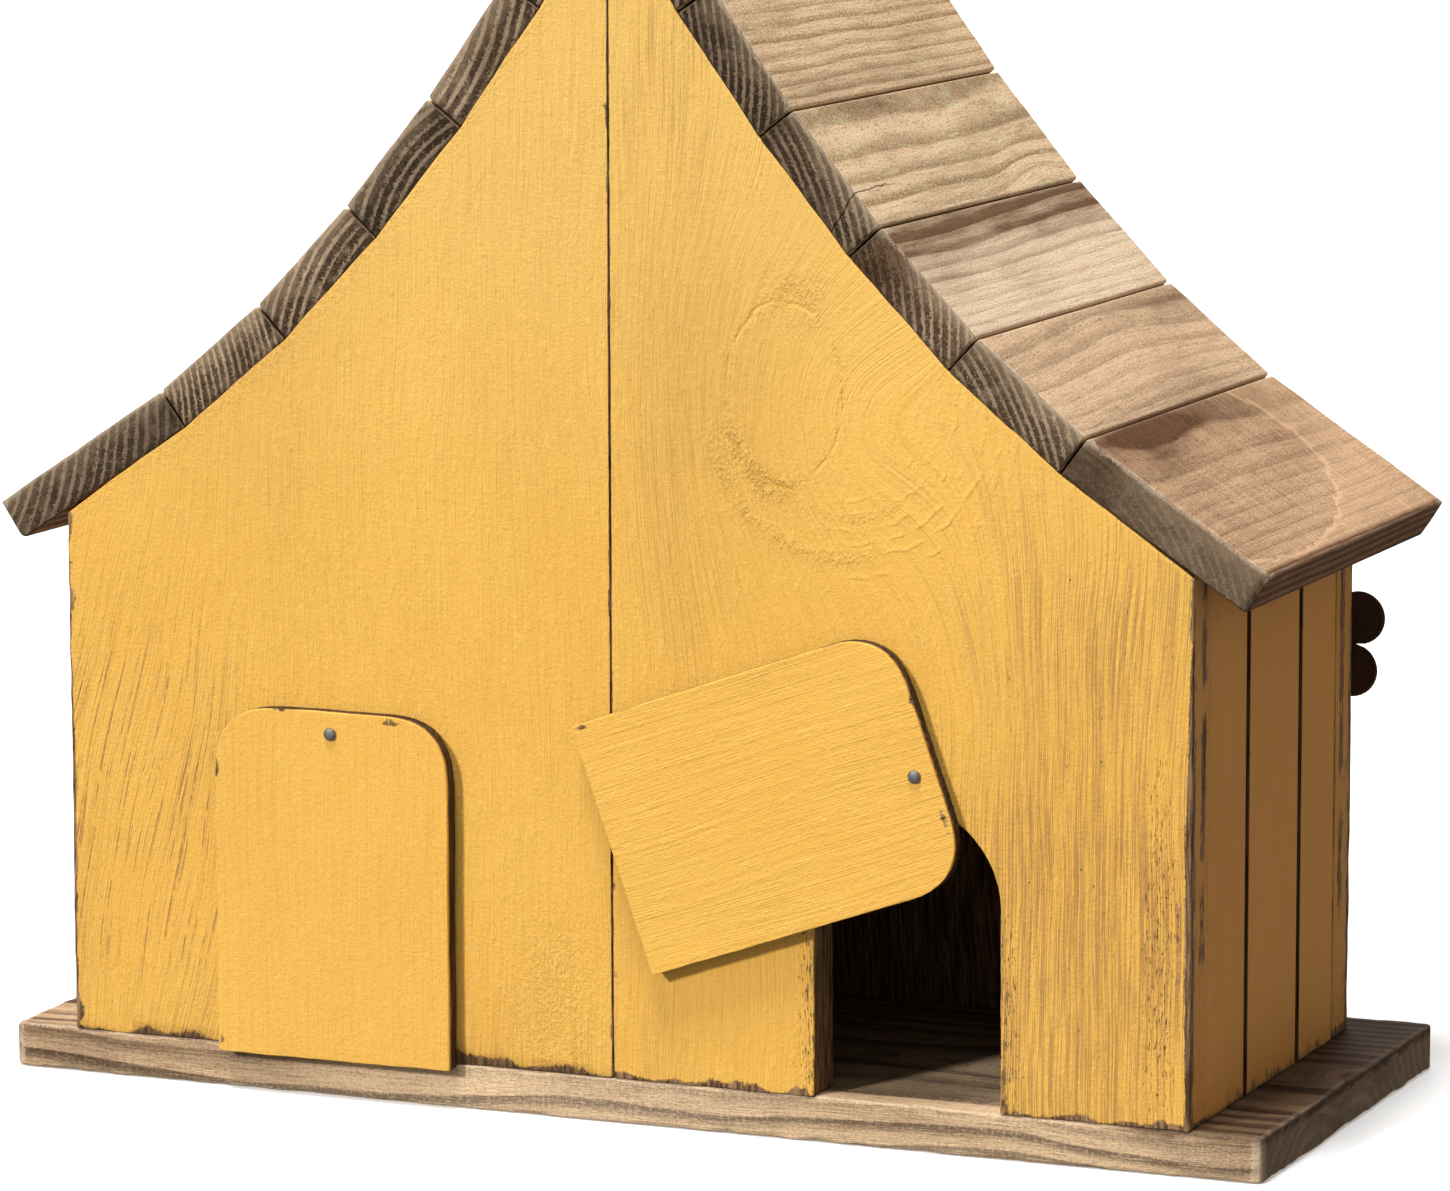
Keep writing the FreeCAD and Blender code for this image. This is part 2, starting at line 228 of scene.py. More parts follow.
def fitted_ease(loop, normal, ease):
    """The ease at each point of a rim, drawn in where it would fold the rim over itself at a tight corner."""
    ahead = np.roll(loop, -1, axis=0) - loop
    kept_run = 0.15 * np.einsum("ij,ij->i", ahead, ahead)
    for _ in range(20):
        inset = loop - normal * ease[:, None]
        folded = np.einsum("ij,ij->i", np.roll(inset, -1, axis=0) - inset, ahead) < kept_run
        if not folded.any():
            break
        ease = np.where(folded | np.roll(folded, 1), 0.7 * ease, ease)
    return ease


def board(name, loops, low, high, place, grain, seed, traits=None, ease=0.8, cell=3.0, depth_cell=4.0,
          wobble=0.2, cup=0.12, hole_ease=None):
    """A board cut from a flat outline: eased, slightly uneven edges and a fine, gently wavy skin.

    loops are closed outlines in (a, b), the outer one anticlockwise, and c runs from low to high through the board.
    place turns (a, b, c) into the row frame, and grain turns it into (across, along, through) the wood's grain.
    traits gives each vertex its ring place, staining, relief and bareness, which on some pieces also carry painted
    shade, and how far its skin stands proud.
    """
    loops = [resampled(np.array(loop, float), cell) for loop in loops]
    rims, normals, eases, corners = [], [], [], []
    for index, loop in enumerate(loops):
        normal, sharp = loop_normals(loop)
        flat = np.concatenate([loop, np.full((len(loop), 1), seed * 40.0 + index)], 1)
        small_hole = index > 0 and hole_ease is not None
        shift = (0 if small_hole else wobble) * (value_noise(flat, 22.0, seed) + 0.6 * value_noise(flat, 6.0, seed + 3))
        rims.append(loop + normal * shift[:, None])
        normals.append(normal)
        uneven = value_noise(flat, 9.0, seed + 7) + 0.7 * value_noise(flat, 3.5, seed + 9)
        reach = np.minimum((hole_ease if small_hole else ease) * np.clip(0.8 + 0.8 * uneven, 0.3, 1.25), 0.3 * (high - low))
        eases.append(fitted_ease(rims[-1], normal, reach))
        corners += [tuple(p) for p in loop[sharp]]
    rim, normal = np.concatenate(rims), np.concatenate(normals)
    radius = np.concatenate(eases)

    arc = np.radians([0, 30, 60, 90])
    rings = [(low + radius * (1 - math.cos(t)), radius * (1 - math.sin(t))) for t in arc]
    middle = np.linspace(0, 1, max(2, math.ceil((high - low) / depth_cell)) + 1)[1:-1]
    rings += [(low + radius + (high - low - 2 * radius) * share, 0 * radius) for share in middle]
    rings += [(high - radius * (1 - math.cos(t)), radius * (1 - math.sin(t))) for t in arc[::-1]]
    count = len(rim)
    flat_points = [rim - normal * inset[:, None] for _, inset in rings]
    points = [np.concatenate([flat, c[:, None]], 1) for flat, (c, _) in zip(flat_points, rings)]
    edge = [np.minimum(c - low, high - c) for c, _ in rings]

    faces = []
    start = 0
    for loop in loops:
        around = np.arange(len(loop))
        following = (around + 1) % len(loop)
        for ring in range(len(rings) - 1):
            a, b = start + ring * count, start + (ring + 1) * count
            faces += np.stack([a + around, a + following, b + following, b + around], 1).tolist()
        start += len(loop)

    splits = np.cumsum([len(loop) for loop in loops])[:-1]
    total = count * len(rings)
    for flat, c, first, flip in ((flat_points[0], low, 0, True), (flat_points[-1], high, count * (len(rings) - 1), False)):
        inner, distance, triangles = fill_cap(np.split(flat, splits), cell, 0.45 * cell)
        swell = cup * value_noise(np.concatenate([inner, np.full((len(inner), 1), c + seed * 9.0)], 1), 26.0, seed + 1)
        fade = np.clip(distance / 6.0, 0, 1)
        points.append(np.concatenate([inner, (c + swell * fade)[:, None]], 1))
        edge.append(distance)
        triangles = np.where(triangles < count, triangles + first, triangles - count + total)
        faces += (triangles[:, ::-1] if flip else triangles).tolist()
        total += len(inner)

    points = np.concatenate(points)
    edge = np.concatenate(edge)
    if corners:
        tree = kdtree.KDTree(len(corners))
        for index, corner in enumerate(corners):
            tree.insert((*corner, 0), index)
        tree.balance()
        edge = np.minimum(edge, [tree.find((p[0], p[1], 0))[2] for p in points])

    where = np.array([grain(*p) for p in points])
    found = traits(points, where, edge) if traits else {}
    if "proud" in found:
        outward = np.where(points[:, 2] > (low + high) / 2, 1, -1)
        points[:, 2] += outward * found.pop("proud") * np.clip(edge / 3.0, 0, 1)
    placed = np.array([place(*p) for p in points])
    mesh = bpy.data.meshes.new(name)
    mesh.from_pydata((placed * MM).tolist(), [], faces)
    mesh.validate()
    close_gaps(mesh)
    if signed_volume(mesh) < 0:
        mesh.flip_normals()
        mesh.update()
    store_looks(mesh, where, edge, found)
    mesh.polygons.foreach_set("use_smooth", [True] * len(mesh.polygons))
    piece = bpy.data.objects.new(name, mesh)
    bpy.context.scene.collection.objects.link(piece)
    even = piece.modifiers.new("even_normals", "WEIGHTED_NORMAL")
    even.weight = 60
    return piece


def close_gaps(mesh):
    """Fills the slits left in a cap where its rim crosses itself at a tight corner, without adding a vertex."""
    shape = bmesh.new()
    shape.from_mesh(mesh)
    rims = [edge for edge in shape.edges if len(edge.link_faces) == 1]
    if rims:
        filled = bmesh.ops.holes_fill(shape, edges=rims, sides=0)["faces"]
        bmesh.ops.triangulate(shape, faces=filled)
        bmesh.ops.recalc_face_normals(shape, faces=shape.faces)
        shape.to_mesh(mesh)
    shape.free()
    mesh.update()


def signed_volume(mesh):
    """Six times the volume that the faces enclose, positive when they face outwards."""
    mesh.calc_loop_triangles()
    co = np.array([v.co for v in mesh.vertices])
    tri = np.array([t.vertices for t in mesh.loop_triangles])
    return float(np.einsum("ij,ij->", co[tri[:, 0]], np.cross(co[tri[:, 1]], co[tri[:, 2]])))


def store_looks(mesh, where, edge, found):
    """Keeps what the materials read: grain and flow places (mm), distance to an arris (mm) and each trait."""
    normals = np.array([v.normal for v in mesh.vertices])
    placed = np.array([v.co for v in mesh.vertices])
    facing = np.abs(normals @ grain_direction(placed, where))
    flow = where.copy()
    flow[:, 0] = found.get("ring", where[:, 0])
    for label, vectors in (("grain", where), ("flow", flow)):
        store = mesh.attributes.new(label, "FLOAT_VECTOR", "POINT")
        store.data.foreach_set("vector", vectors.astype(np.float32).ravel())
    scalars = {"arris": edge, "end_grain": facing, "stain": 0, "rough": 0, "bare": 0, "arcs": 0, "lines": 0,
               "edge_coat": 0, "flecks": 0, "end_light": 0, "grime": 0}
    scalars.update({label: found[label] for label in scalars if label in found})
    for label, values in scalars.items():
        store = mesh.attributes.new(label, "FLOAT", "POINT")
        store.data.foreach_set("value", np.broadcast_to(values, len(where)).astype(np.float32))


def grain_direction(placed, where):
    """The direction in the row frame along which the grain's second coordinate grows."""
    system = np.concatenate([placed, np.ones((len(placed), 1))], 1)
    slope = np.linalg.lstsq(system, where[:, 1], rcond=None)[0][:3]
    return slope / np.linalg.norm(slope)


def hump(offset, reach):
    """A smooth bump: 1 in the middle, fading over the reach."""
    return np.exp(-(np.asarray(offset) / reach) ** 2)


def step_up(value, low, high):
    """0 below low, 1 above high, smooth between."""
    share = np.clip((np.asarray(value) - low) / (high - low), 0, 1)
    return share * share * (3 - 2 * share)


# ---------------------------------------------------------------- node helpers

class Shader:
    """A material's node tree, with one short method for each kind of node that this script uses."""

    def __init__(self, name):
        self.material = bpy.data.materials.new(name)
        self.material.use_nodes = True
        self.tree = self.material.node_tree
        self.surface = self.tree.nodes["Principled BSDF"]

    def node(self, kind, **settings):
        made = self.tree.nodes.new(kind)
        for key, value in settings.items():
            setattr(made, key, value)
        return made

    def feed(self, socket, value):
        """Links a socket to another, or sets a plain value on it."""
        if isinstance(value, bpy.types.NodeSocket):
            self.tree.links.new(value, socket)
        else:
            socket.default_value = value

    def attribute(self, name, output="Fac"):
        return self.node("ShaderNodeAttribute", attribute_name=name).outputs[output]

    def math(self, operation, a, b=0.0, clamp=False):
        made = self.node("ShaderNodeMath", operation=operation, use_clamp=clamp)
        self.feed(made.inputs[0], a)
        self.feed(made.inputs[1], b)
        return made.outputs[0]

    def add(self, a, b):
        return self.math("ADD", a, b)

    def times(self, a, b):
        return self.math("MULTIPLY", a, b)

    def scaled(self, vector, scale, shift=(0.0, 0.0, 0.0)):
        made = self.node("ShaderNodeVectorMath", operation="MULTIPLY_ADD")
        self.feed(made.inputs[0], vector)
        made.inputs[1].default_value = scale
        made.inputs[2].default_value = shift
        return made.outputs[0]

    def noise(self, vector, detail=2.0, roughness=0.5):
        made = self.node("ShaderNodeTexNoise")
        made.inputs["Scale"].default_value = 1.0
        made.inputs["Detail"].default_value = detail
        made.inputs["Roughness"].default_value = roughness
        self.feed(made.inputs["Vector"], vector)
        return made.outputs["Fac"]

    def ease(self, value, low, high):
        """0 below low, 1 above high, smooth between; low may be the larger one."""
        made = self.node("ShaderNodeMapRange", interpolation_type="SMOOTHSTEP")
        self.feed(made.inputs["Value"], value)
        made.inputs["From Min"].default_value = low
        made.inputs["From Max"].default_value = high
        return made.outputs["Result"]

    def mix(self, share, a, b, blend="MIX"):
        made = self.node("ShaderNodeMix", data_type="RGBA", blend_type=blend)
        self.feed(made.inputs["Factor"], share)
        self.feed(made.inputs["A"], (*a, 1.0) if isinstance(a, tuple) else a)
        self.feed(made.inputs["B"], (*b, 1.0) if isinstance(b, tuple) else b)
        return made.outputs["Result"]

    def bump(self, height, distance, strength=1.0):
        made = self.node("ShaderNodeBump")
        made.inputs["Strength"].default_value = strength
        made.inputs["Distance"].default_value = distance
        self.feed(made.inputs["Height"], height)
        self.feed(self.surface.inputs["Normal"], made.outputs["Normal"])


def colour(red, green, blue):
    """Linear colour from 0-255 sRGB values."""
    return tuple(((v / 255 + 0.055) / 1.055) ** 2.4 if v > 10 else v / 255 / 12.92 for v in (red, green, blue))


# ---------------------------------------------------------------- materials

def ring_bands(shader, spacing, seed, sharp=0.35):
    """Late wood of the growth rings: 0 in the pale early wood, rising to 1 at each ring's dark end, no two alike."""
    flow = shader.attribute("flow", "Vector")
    ring = shader.node("ShaderNodeSeparateXYZ")
    shader.feed(ring.inputs[0], flow)
    waver = shader.noise(shader.scaled(flow, (1 / 12, 1 / 120, 1 / 12), (seed, 0, 0)), 1)
    fine = shader.noise(shader.scaled(flow, (1 / 2.4, 1 / 38, 1 / 2.4), (0, seed, 0)), 1)
    sway = shader.add(shader.times(waver, 0.6 * spacing), shader.times(fine, 0.2 * spacing))
    place = shader.add(ring.outputs[0], sway)
    phase = shader.times(place, 1 / spacing)
    within = shader.math("FRACT", phase)
    chance = shader.node("ShaderNodeTexWhiteNoise", noise_dimensions="1D")
    shader.feed(chance.inputs["W"], shader.math("FLOOR", phase))
    strength = shader.add(shader.times(chance.outputs["Value"], 0.7), 0.45)
    late = shader.times(shader.ease(within, sharp, 0.84), shader.ease(within, 1.0, 0.87))
    return shader.math("MULTIPLY", late, strength, clamp=True), flow


def make_weathered_wood(name, seed, spacing, light, dark, end_tones, contrast=0.75, end_contrast=1.0,
                        sawn=0.14, arc=None, crack=None, speckle=1.0):
    """Stained, sanded softwood: growth rings and fibres on the faces, dark granular end grain, pale worn arrises.

    end_tones are the end grain's pale and dark colours. arc is a pale growth line on the face, as an oval's middle and
    half size, and crack is a split, as its place across the board and how far along it runs.
    """
    s = Shader(name)
    end_pale, end_dark = end_tones
    late, flow = ring_bands(s, spacing, seed, 0.3)
    grain = s.attribute("grain", "Vector")
    fibre = s.noise(s.scaled(flow, (1 / 0.5, 1 / 17, 1 / 0.5), (seed, 0, 0)), 3, 0.65)
    pores = s.noise(s.scaled(flow, (1 / 0.24, 1 / 2.6, 1 / 0.24), (0, seed, 0)), 1)
    grit = s.noise(s.scaled(grain, (1 / 0.62, 1 / 0.62, 1 / 0.62), (0, seed, 0)), 4, 0.8)
    fuzz = s.noise(s.scaled(grain, (1 / 0.65, 1 / 1.0, 1 / 0.65), (0, 0, seed)), 2, 0.7)
    saw = s.noise(s.scaled(grain, (1 / 24, 1 / 0.8, 1 / 24), (0, 0, seed)), 3, 0.6)
    cloud = s.noise(s.scaled(grain, (1 / 20, 1 / 60, 1 / 20), (seed, seed, 0)), 3, 0.55)
    small_cloud = s.noise(s.scaled(grain, (1 / 5, 1 / 20, 1 / 5), (0, seed, seed)), 2)
    bright = tuple(min(0.95, v * 1.3) for v in light)

    share = s.math("MULTIPLY", late, s.ease(small_cloud, -0.1, 0.5), clamp=True)
    face = s.mix(s.times(share, contrast), light, dark)
    face = s.mix(s.times(s.ease(cloud, 0.44, 0.70), 0.42), face, dark)
    face = s.mix(s.times(s.ease(fibre, 0.52, 0.64), 0.42), face, dark)
    face = s.mix(s.times(s.ease(fibre, 0.46, 0.36), 0.38), face, bright)
    face = s.mix(s.times(s.ease(saw, 0.54, 0.62), sawn), face, bright)
    face = s.mix(s.times(s.ease(saw, 0.46, 0.38), 0.6 * sawn), face, dark)
    face = s.mix(s.times(s.ease(fuzz, 0.52, 0.61), 0.50 * speckle), face, bright)
    face = s.mix(s.times(s.ease(fuzz, 0.46, 0.37), 0.58 * speckle), face, dark)
    face = s.mix(s.times(s.ease(pores, 0.6, 0.75), 0.45), face, tuple(v * 0.45 for v in dark))
    if arc:
        out = oval_out(s, grain, *arc, 4)
        line = s.ease(s.math("ABSOLUTE", s.add(out, -1.08)), 0.022, 0.008)
        face = s.mix(s.times(s.ease(out, 1.07, 1.10), 0.25), face, bright)
        face = s.mix(s.times(line, 0.85), face, bright)

    line = s.ease(s.add(late, s.times(s.add(grit, -0.5), 2.4)), 0.18, 0.50)
    end = s.mix(s.times(line, 0.95 * end_contrast), end_dark, end_pale)
    end = s.mix(s.times(s.ease(grit, 0.56, 0.63), 0.6), end, tuple(min(0.95, v * 1.15) for v in end_pale))
    end = s.mix(s.times(s.ease(grit, 0.45, 0.38), 0.8), end, tuple(v * 0.25 for v in end_dark))
    end = s.mix(s.times(s.ease(cloud, 0.42, 0.66), 0.4), end, end_dark)
    end = s.mix(s.times(s.ease(small_cloud, 0.5, 0.7), 0.25), end, end_pale)
    end = s.mix(s.times(s.attribute("end_light"), 0.35), end, end_pale)
    end = s.mix(s.times(s.ease(s.attribute("end_light"), 0.5, 0.0), 0.22), end, end_dark)
    if end_contrast < 1:
        middle_tone = tuple(0.45 * p + 0.55 * d for p, d in zip(end_pale, end_dark))
        end = s.mix(0.8 * (1 - end_contrast), end, middle_tone)

    facing = s.ease(s.attribute("end_grain"), 0.5, 0.85)
    skin_colour = s.mix(facing, face, end)
    # This multiply is real stain, and painted shade on the slats' undersides, along some slat edges and on the base's
    # top under the eave.
    stain_and_shade_tone = s.mix(1.0, skin_colour, (0.25, 0.175, 0.13), "MULTIPLY")
    soak_and_shade = s.math("MULTIPLY", s.attribute("stain"), s.add(s.times(s.add(fibre, late), 0.7), 0.45), clamp=True)
    skin_colour = s.mix(soak_and_shade, skin_colour, stain_and_shade_tone)
    ragged = s.add(s.attribute("arris"), s.add(s.times(small_cloud, 1.3), s.times(grit, 4.0)))
    worn = s.math("MULTIPLY", s.ease(ragged, 3.35, 2.75), s.attribute("bare"))
    skin_colour = s.mix(s.times(worn, 0.62), skin_colour, WORN_ARRIS)
    # Near-black mix: painted shade in the gaps between slats and on the base's top under the eave and inside the house,
    # and the dark line of the crack.
    shade_and_cracks = s.attribute("rough")
    if crack:
        shade_and_cracks = s.math("MAXIMUM", shade_and_cracks, split_line(s, grain, crack))
    skin_colour = s.mix(shade_and_cracks, skin_colour, (0.014, 0.008, 0.005))
    s.feed(s.surface.inputs["Base Color"], skin_colour)
    s.surface.inputs["Roughness"].default_value = 0.85
    s.surface.inputs["Specular IOR Level"].default_value = 0.1

    skin = s.add(s.times(late, 0.10), s.times(fibre, 0.22))
    skin = s.add(skin, s.add(s.times(fuzz, 0.16), s.times(saw, 0.05)))
    ends = s.add(s.times(late, 0.5), s.times(grit, 1.5))
    height = s.node("ShaderNodeMix", data_type="FLOAT")
    s.feed(height.inputs["Factor"], facing)
    s.feed(height.inputs["A"], skin)
    s.feed(height.inputs["B"], ends)
    s.bump(height.outputs["Result"], MM)
    return s.material


def split_line(s, grain, crack):
    """A thin split that runs through the board from its near end."""
    across, reach = crack
    parts = s.node("ShaderNodeSeparateXYZ")
    s.feed(parts.inputs[0], grain)
    waver = s.noise(s.scaled(grain, (1 / 4, 1 / 9, 1 / 4)), 2)
    offset = s.add(parts.outputs[0], s.add(s.times(parts.outputs[2], 0.35), s.times(waver, 2.4)))
    line = s.ease(s.math("ABSOLUTE", s.add(offset, -across)), 0.30, 0.10)
    return s.times(s.times(line, s.ease(parts.outputs[1], reach + 6, reach - 4)), 0.85)


def oval_out(s, grain, middle, size, seed):
    """How far out a place is in an upright oval on the board's face: 1 on its slightly wandering rim."""
    scale = (1 / size[0], 1 / size[1], 0)
    centred = s.scaled(grain, scale, (-middle[0] / size[0], -middle[1] / size[1], 0))
    length = s.node("ShaderNodeVectorMath", operation="LENGTH")
    s.feed(length.inputs[0], centred)
    waver = s.noise(s.scaled(grain, (1 / 9, 1 / 9, 1 / 9), (seed, 0, 0)), 3)
    return s.add(length.outputs["Value"], s.times(waver, 0.16))


def knot_height(s, grain):
    """Relief of the painted-over knot: a broken rim, and fine ridges that swing round it."""
    out = oval_out(s, grain, KNOT, KNOT_SIZE, 1)
    broken = s.noise(s.scaled(grain, (1 / 6, 1 / 6, 1 / 6), (3, 0, 0)), 2)
    groove = s.ease(s.math("ABSOLUTE", s.add(out, -1.08)), 0.045, 0.0)
    height = s.times(s.times(groove, s.ease(broken, 0.40, 0.60)), -0.26)
    swirl = oval_out(s, grain, SWIRL, SWIRL_SIZE, 2)
    place = s.math("FRACT", s.times(swirl, 9.0))
    ridge = s.times(s.ease(place, 0.45, 0.7), s.ease(place, 0.9, 0.75))
    ridge = s.times(ridge, s.ease(broken, 0.42, 0.62))
    height = s.add(height, s.times(s.times(ridge, s.attribute("arcs")), 0.20))
    weave = s.noise(s.scaled(grain, (1 / 0.7, 1 / 4, 1 / 4), (0, 2, 0)), 1)
    inside_knot = s.ease(out, 1.1, 0.95)
    return s.add(height, s.times(s.times(weave, inside_knot), 0.12))


def make_paint(name, seed, body, thin_amount=1.0, stroke=1.0, knot=False, fade=None):
    """Brushed matt paint on a softwood board: streaks where the grain shows, worn arrises and unpainted cut faces,
    which turn near-black as painted shade in grooves and on door edges.

    fade gives the heights between which the coat turns paler.
    """
    s = Shader(name)
    late, flow = ring_bands(s, 4.5, seed, 0.35)
    grain = s.attribute("grain", "Vector")
    streak = s.noise(s.scaled(flow, (1 / 0.46, 1 / 40, 1 / 0.46), (seed, 0, 0)), 3, 0.72)
    wide_streak = s.noise(s.scaled(flow, (1 / 2.2, 1 / 60, 1 / 2.2), (seed, seed, 0)), 3, 0.6)
    brush = s.noise(s.scaled(flow, (1 / 0.34, 1 / 30, 1 / 0.34), (0, seed, 0)), 2, 0.6)
    dab = s.noise(s.scaled(grain, (1 / 1.9, 1 / 6, 1 / 1.9), (seed, 0, seed)), 3, 0.6)
    cloud = s.noise(s.scaled(grain, (1 / 40, 1 / 60, 1 / 40), (seed, seed, 0)), 3)
    grit = s.noise(s.scaled(grain, (1 / 0.9, 1 / 1.0, 1 / 0.9), (seed, 0, 0)), 3, 0.75)
    weave = s.noise(s.scaled(grain, (1 / 5, 1 / 0.6, 1 / 5), (0, seed, seed)), 2, 0.6)
    speck = s.noise(s.scaled(grain, (1 / 1.1, 1 / 2.2, 1 / 1.1), (0, seed, 0)), 2)
    long_streak = s.noise(s.scaled(flow, (1 / 0.8, 1 / 48, 1 / 0.8), (seed, 0, seed)), 2, 0.5)
    stain, rough, bare = s.attribute("stain"), s.attribute("rough"), s.attribute("bare")

    pale = tuple(min(0.95, v * k) for v, k in zip(body, (1.05, 1.14, 1.6)))
    deep = tuple(v * k for v, k in zip(body, (0.84, 0.74, 0.62)))
    grey = tuple(v * k for v, k in zip(body, (0.48, 0.44, 0.80)))
    coat = s.mix(s.ease(cloud, 0.35, 0.65), body, tuple(v * k for v, k in zip(body, (0.98, 0.95, 0.92))))
    # The coat turns paler towards the top of the board.
    if fade:
        height_up = s.node("ShaderNodeSeparateXYZ")
        s.feed(height_up.inputs[0], grain)
        paler_coat = tuple(min(0.95, v * k) for v, k in zip(body, (1.0, 1.12, 1.55)))
        coat = s.mix(s.times(s.ease(height_up.outputs[1], *fade), 0.95), coat, paler_coat)
    coat = s.mix(s.times(s.ease(brush, 0.5, 0.68), 0.30), coat, deep)
    coat = s.mix(s.times(s.ease(brush, 0.45, 0.3), 0.25), coat, pale)
    coat = s.mix(s.times(s.ease(dab, 0.55, 0.7), 0.25), coat, pale)
    coat = s.mix(s.times(s.ease(grit, 0.55, 0.66), 0.26), coat, deep)
    coat = s.mix(s.times(s.ease(grit, 0.45, 0.35), 0.26), coat, pale)
    lifted = s.add(s.times(streak, 0.86), s.times(wide_streak, 0.14))
    show = s.ease(s.add(lifted, s.times(stain, 0.09 * thin_amount)), 0.57, 0.66)
    coat = s.mix(s.times(show, s.math("MULTIPLY", s.add(stain, 0.12), 0.52 * thin_amount, clamp=True)), coat, grey)
    lines = s.times(s.times(s.ease(long_streak, 0.57, 0.65), s.ease(dab, 0.36, 0.54)), s.attribute("lines"))
    coat = s.mix(s.times(lines, 0.66), coat, tuple(v * k for v, k in zip(body, (0.38, 0.34, 0.62))))
    coat = s.mix(s.times(s.times(late, stain), 0.08), coat, deep)
    fleck = s.times(s.ease(s.add(speck, s.times(streak, 0.3)), 0.88, 0.94), s.ease(stain, 0.45, 1.0))
    coat = s.mix(fleck, coat, (0.10, 0.065, 0.04))
    dash = s.noise(s.scaled(flow, (1 / 0.42, 1 / 3.2, 1 / 0.42), (seed, 2, 0)), 3, 0.6)
    dashes = s.ease(s.add(dash, s.times(s.attribute("flecks"), 0.155)), 0.72, 0.76)
    coat = s.mix(s.times(dashes, 0.9), coat, (0.085, 0.050, 0.027))
    pits = s.noise(s.scaled(grain, (1 / 0.9, 1 / 1.5, 1 / 0.9), (5, 5, 0)), 3, 0.6)
    coat = s.mix(s.math("MULTIPLY", s.ease(pits, 0.46, 0.38), s.times(rough, 0.75), clamp=True), coat, deep)
    coat = s.mix(s.math("MULTIPLY", s.ease(pits, 0.52, 0.60), s.times(rough, 0.8), clamp=True), coat, pale)
    # Painted shade: on the gables' side edges the coat is darkened and browned like the side walls' shaded paint.
    edge_coat_with_shade = s.mix(1.0, coat, (0.84, 0.70, 0.88), "MULTIPLY")
    coat = s.mix(s.attribute("edge_coat"), coat, edge_coat_with_shade)

    bare_streak = s.noise(s.scaled(flow, (1 / 1.1, 1 / 16, 1 / 1.1), (0, 0, seed)), 3, 0.6)
    bare_wood_and_shade = s.mix(s.ease(bare_streak, 0.35, 0.65), (0.085, 0.042, 0.018), (0.34, 0.20, 0.10))
    # Where bareness runs past 1.25 the bare wood is mixed towards near-black: painted shade in the side walls' grooves,
    # on the doors' edges and backs, and faintly on the gables' cut faces.
    bare_wood_and_shade = s.mix(s.times(s.ease(bare, 1.25, 1.5), 0.85), bare_wood_and_shade, (0.022, 0.011, 0.005))
    ragged = s.add(s.attribute("arris"), s.add(s.times(dab, 2.4), s.times(grit, 1.6)))
    worn = s.ease(s.add(ragged, s.times(stain, -0.3)), 1.35, 0.95)
    peeled = s.add(bare, s.times(s.add(s.add(dab, streak), s.times(grit, 0.6)), 0.55))
    gone = s.math("MAXIMUM", s.times(worn, 0.75), s.ease(peeled, 1.12, 1.30))
    skin = s.mix(gone, coat, bare_wood_and_shade)
    # Darker along the foot of the back left board.
    skin = s.mix(s.attribute("grime"), skin, tuple(v * k for v, k in zip(body, (0.07, 0.06, 0.12))))
    s.feed(s.surface.inputs["Base Color"], skin)
    s.feed(s.surface.inputs["Roughness"], s.add(s.times(brush, 0.2), 0.55))
    s.surface.inputs["Specular IOR Level"].default_value = 0.12

    height = s.add(s.times(brush, 0.21 * stroke), s.times(s.add(streak, -0.5), s.add(s.times(stain, 0.2 * stroke), 0.17 * stroke)))
    height = s.add(height, s.times(late, 0.04))
    height = s.add(height, s.times(s.ease(dab, 0.5, 0.72), 0.10 * stroke))
    height = s.add(height, s.times(s.add(grit, -0.5), s.add(s.times(rough, 0.45), 0.22)))
    height = s.add(height, s.times(s.times(s.add(s.ease(pits, 0.40, 0.60), -0.5), rough), 0.30))
    height = s.add(height, s.times(weave, 0.05 * stroke))
    height = s.add(height, s.times(lines, -0.12))
    height = s.add(height, s.times(gone, -0.12))
    if knot:
        height = s.add(height, knot_height(s, grain))
    s.bump(height, MM)
    return s.material


def make_metal(name, tint, roughness, seed):
    """Drawn metal with fine scratches and dull patches."""
    s = Shader(name)
    place = s.node("ShaderNodeNewGeometry").outputs["Position"]
    patch = s.noise(s.scaled(place, (900, 900, 900), (seed, 0, 0)), 3)
    scratch = s.noise(s.scaled(place, (2600, 2600, 500), (0, seed, 0)), 2)
    s.feed(s.surface.inputs["Base Color"], s.mix(patch, tuple(v * 0.55 for v in tint), tint))
    s.surface.inputs["Metallic"].default_value = 0.85
    s.feed(s.surface.inputs["Roughness"], s.add(s.times(scratch, 0.25), roughness))
    s.bump(s.add(patch, scratch), 0.00005)
    return s.material


# ---------------------------------------------------------------- pieces

def finish_piece(piece, body, slot, material, *nodes):
    piece.data.materials.append(material)
    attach(piece, body)
    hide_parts(*nodes)


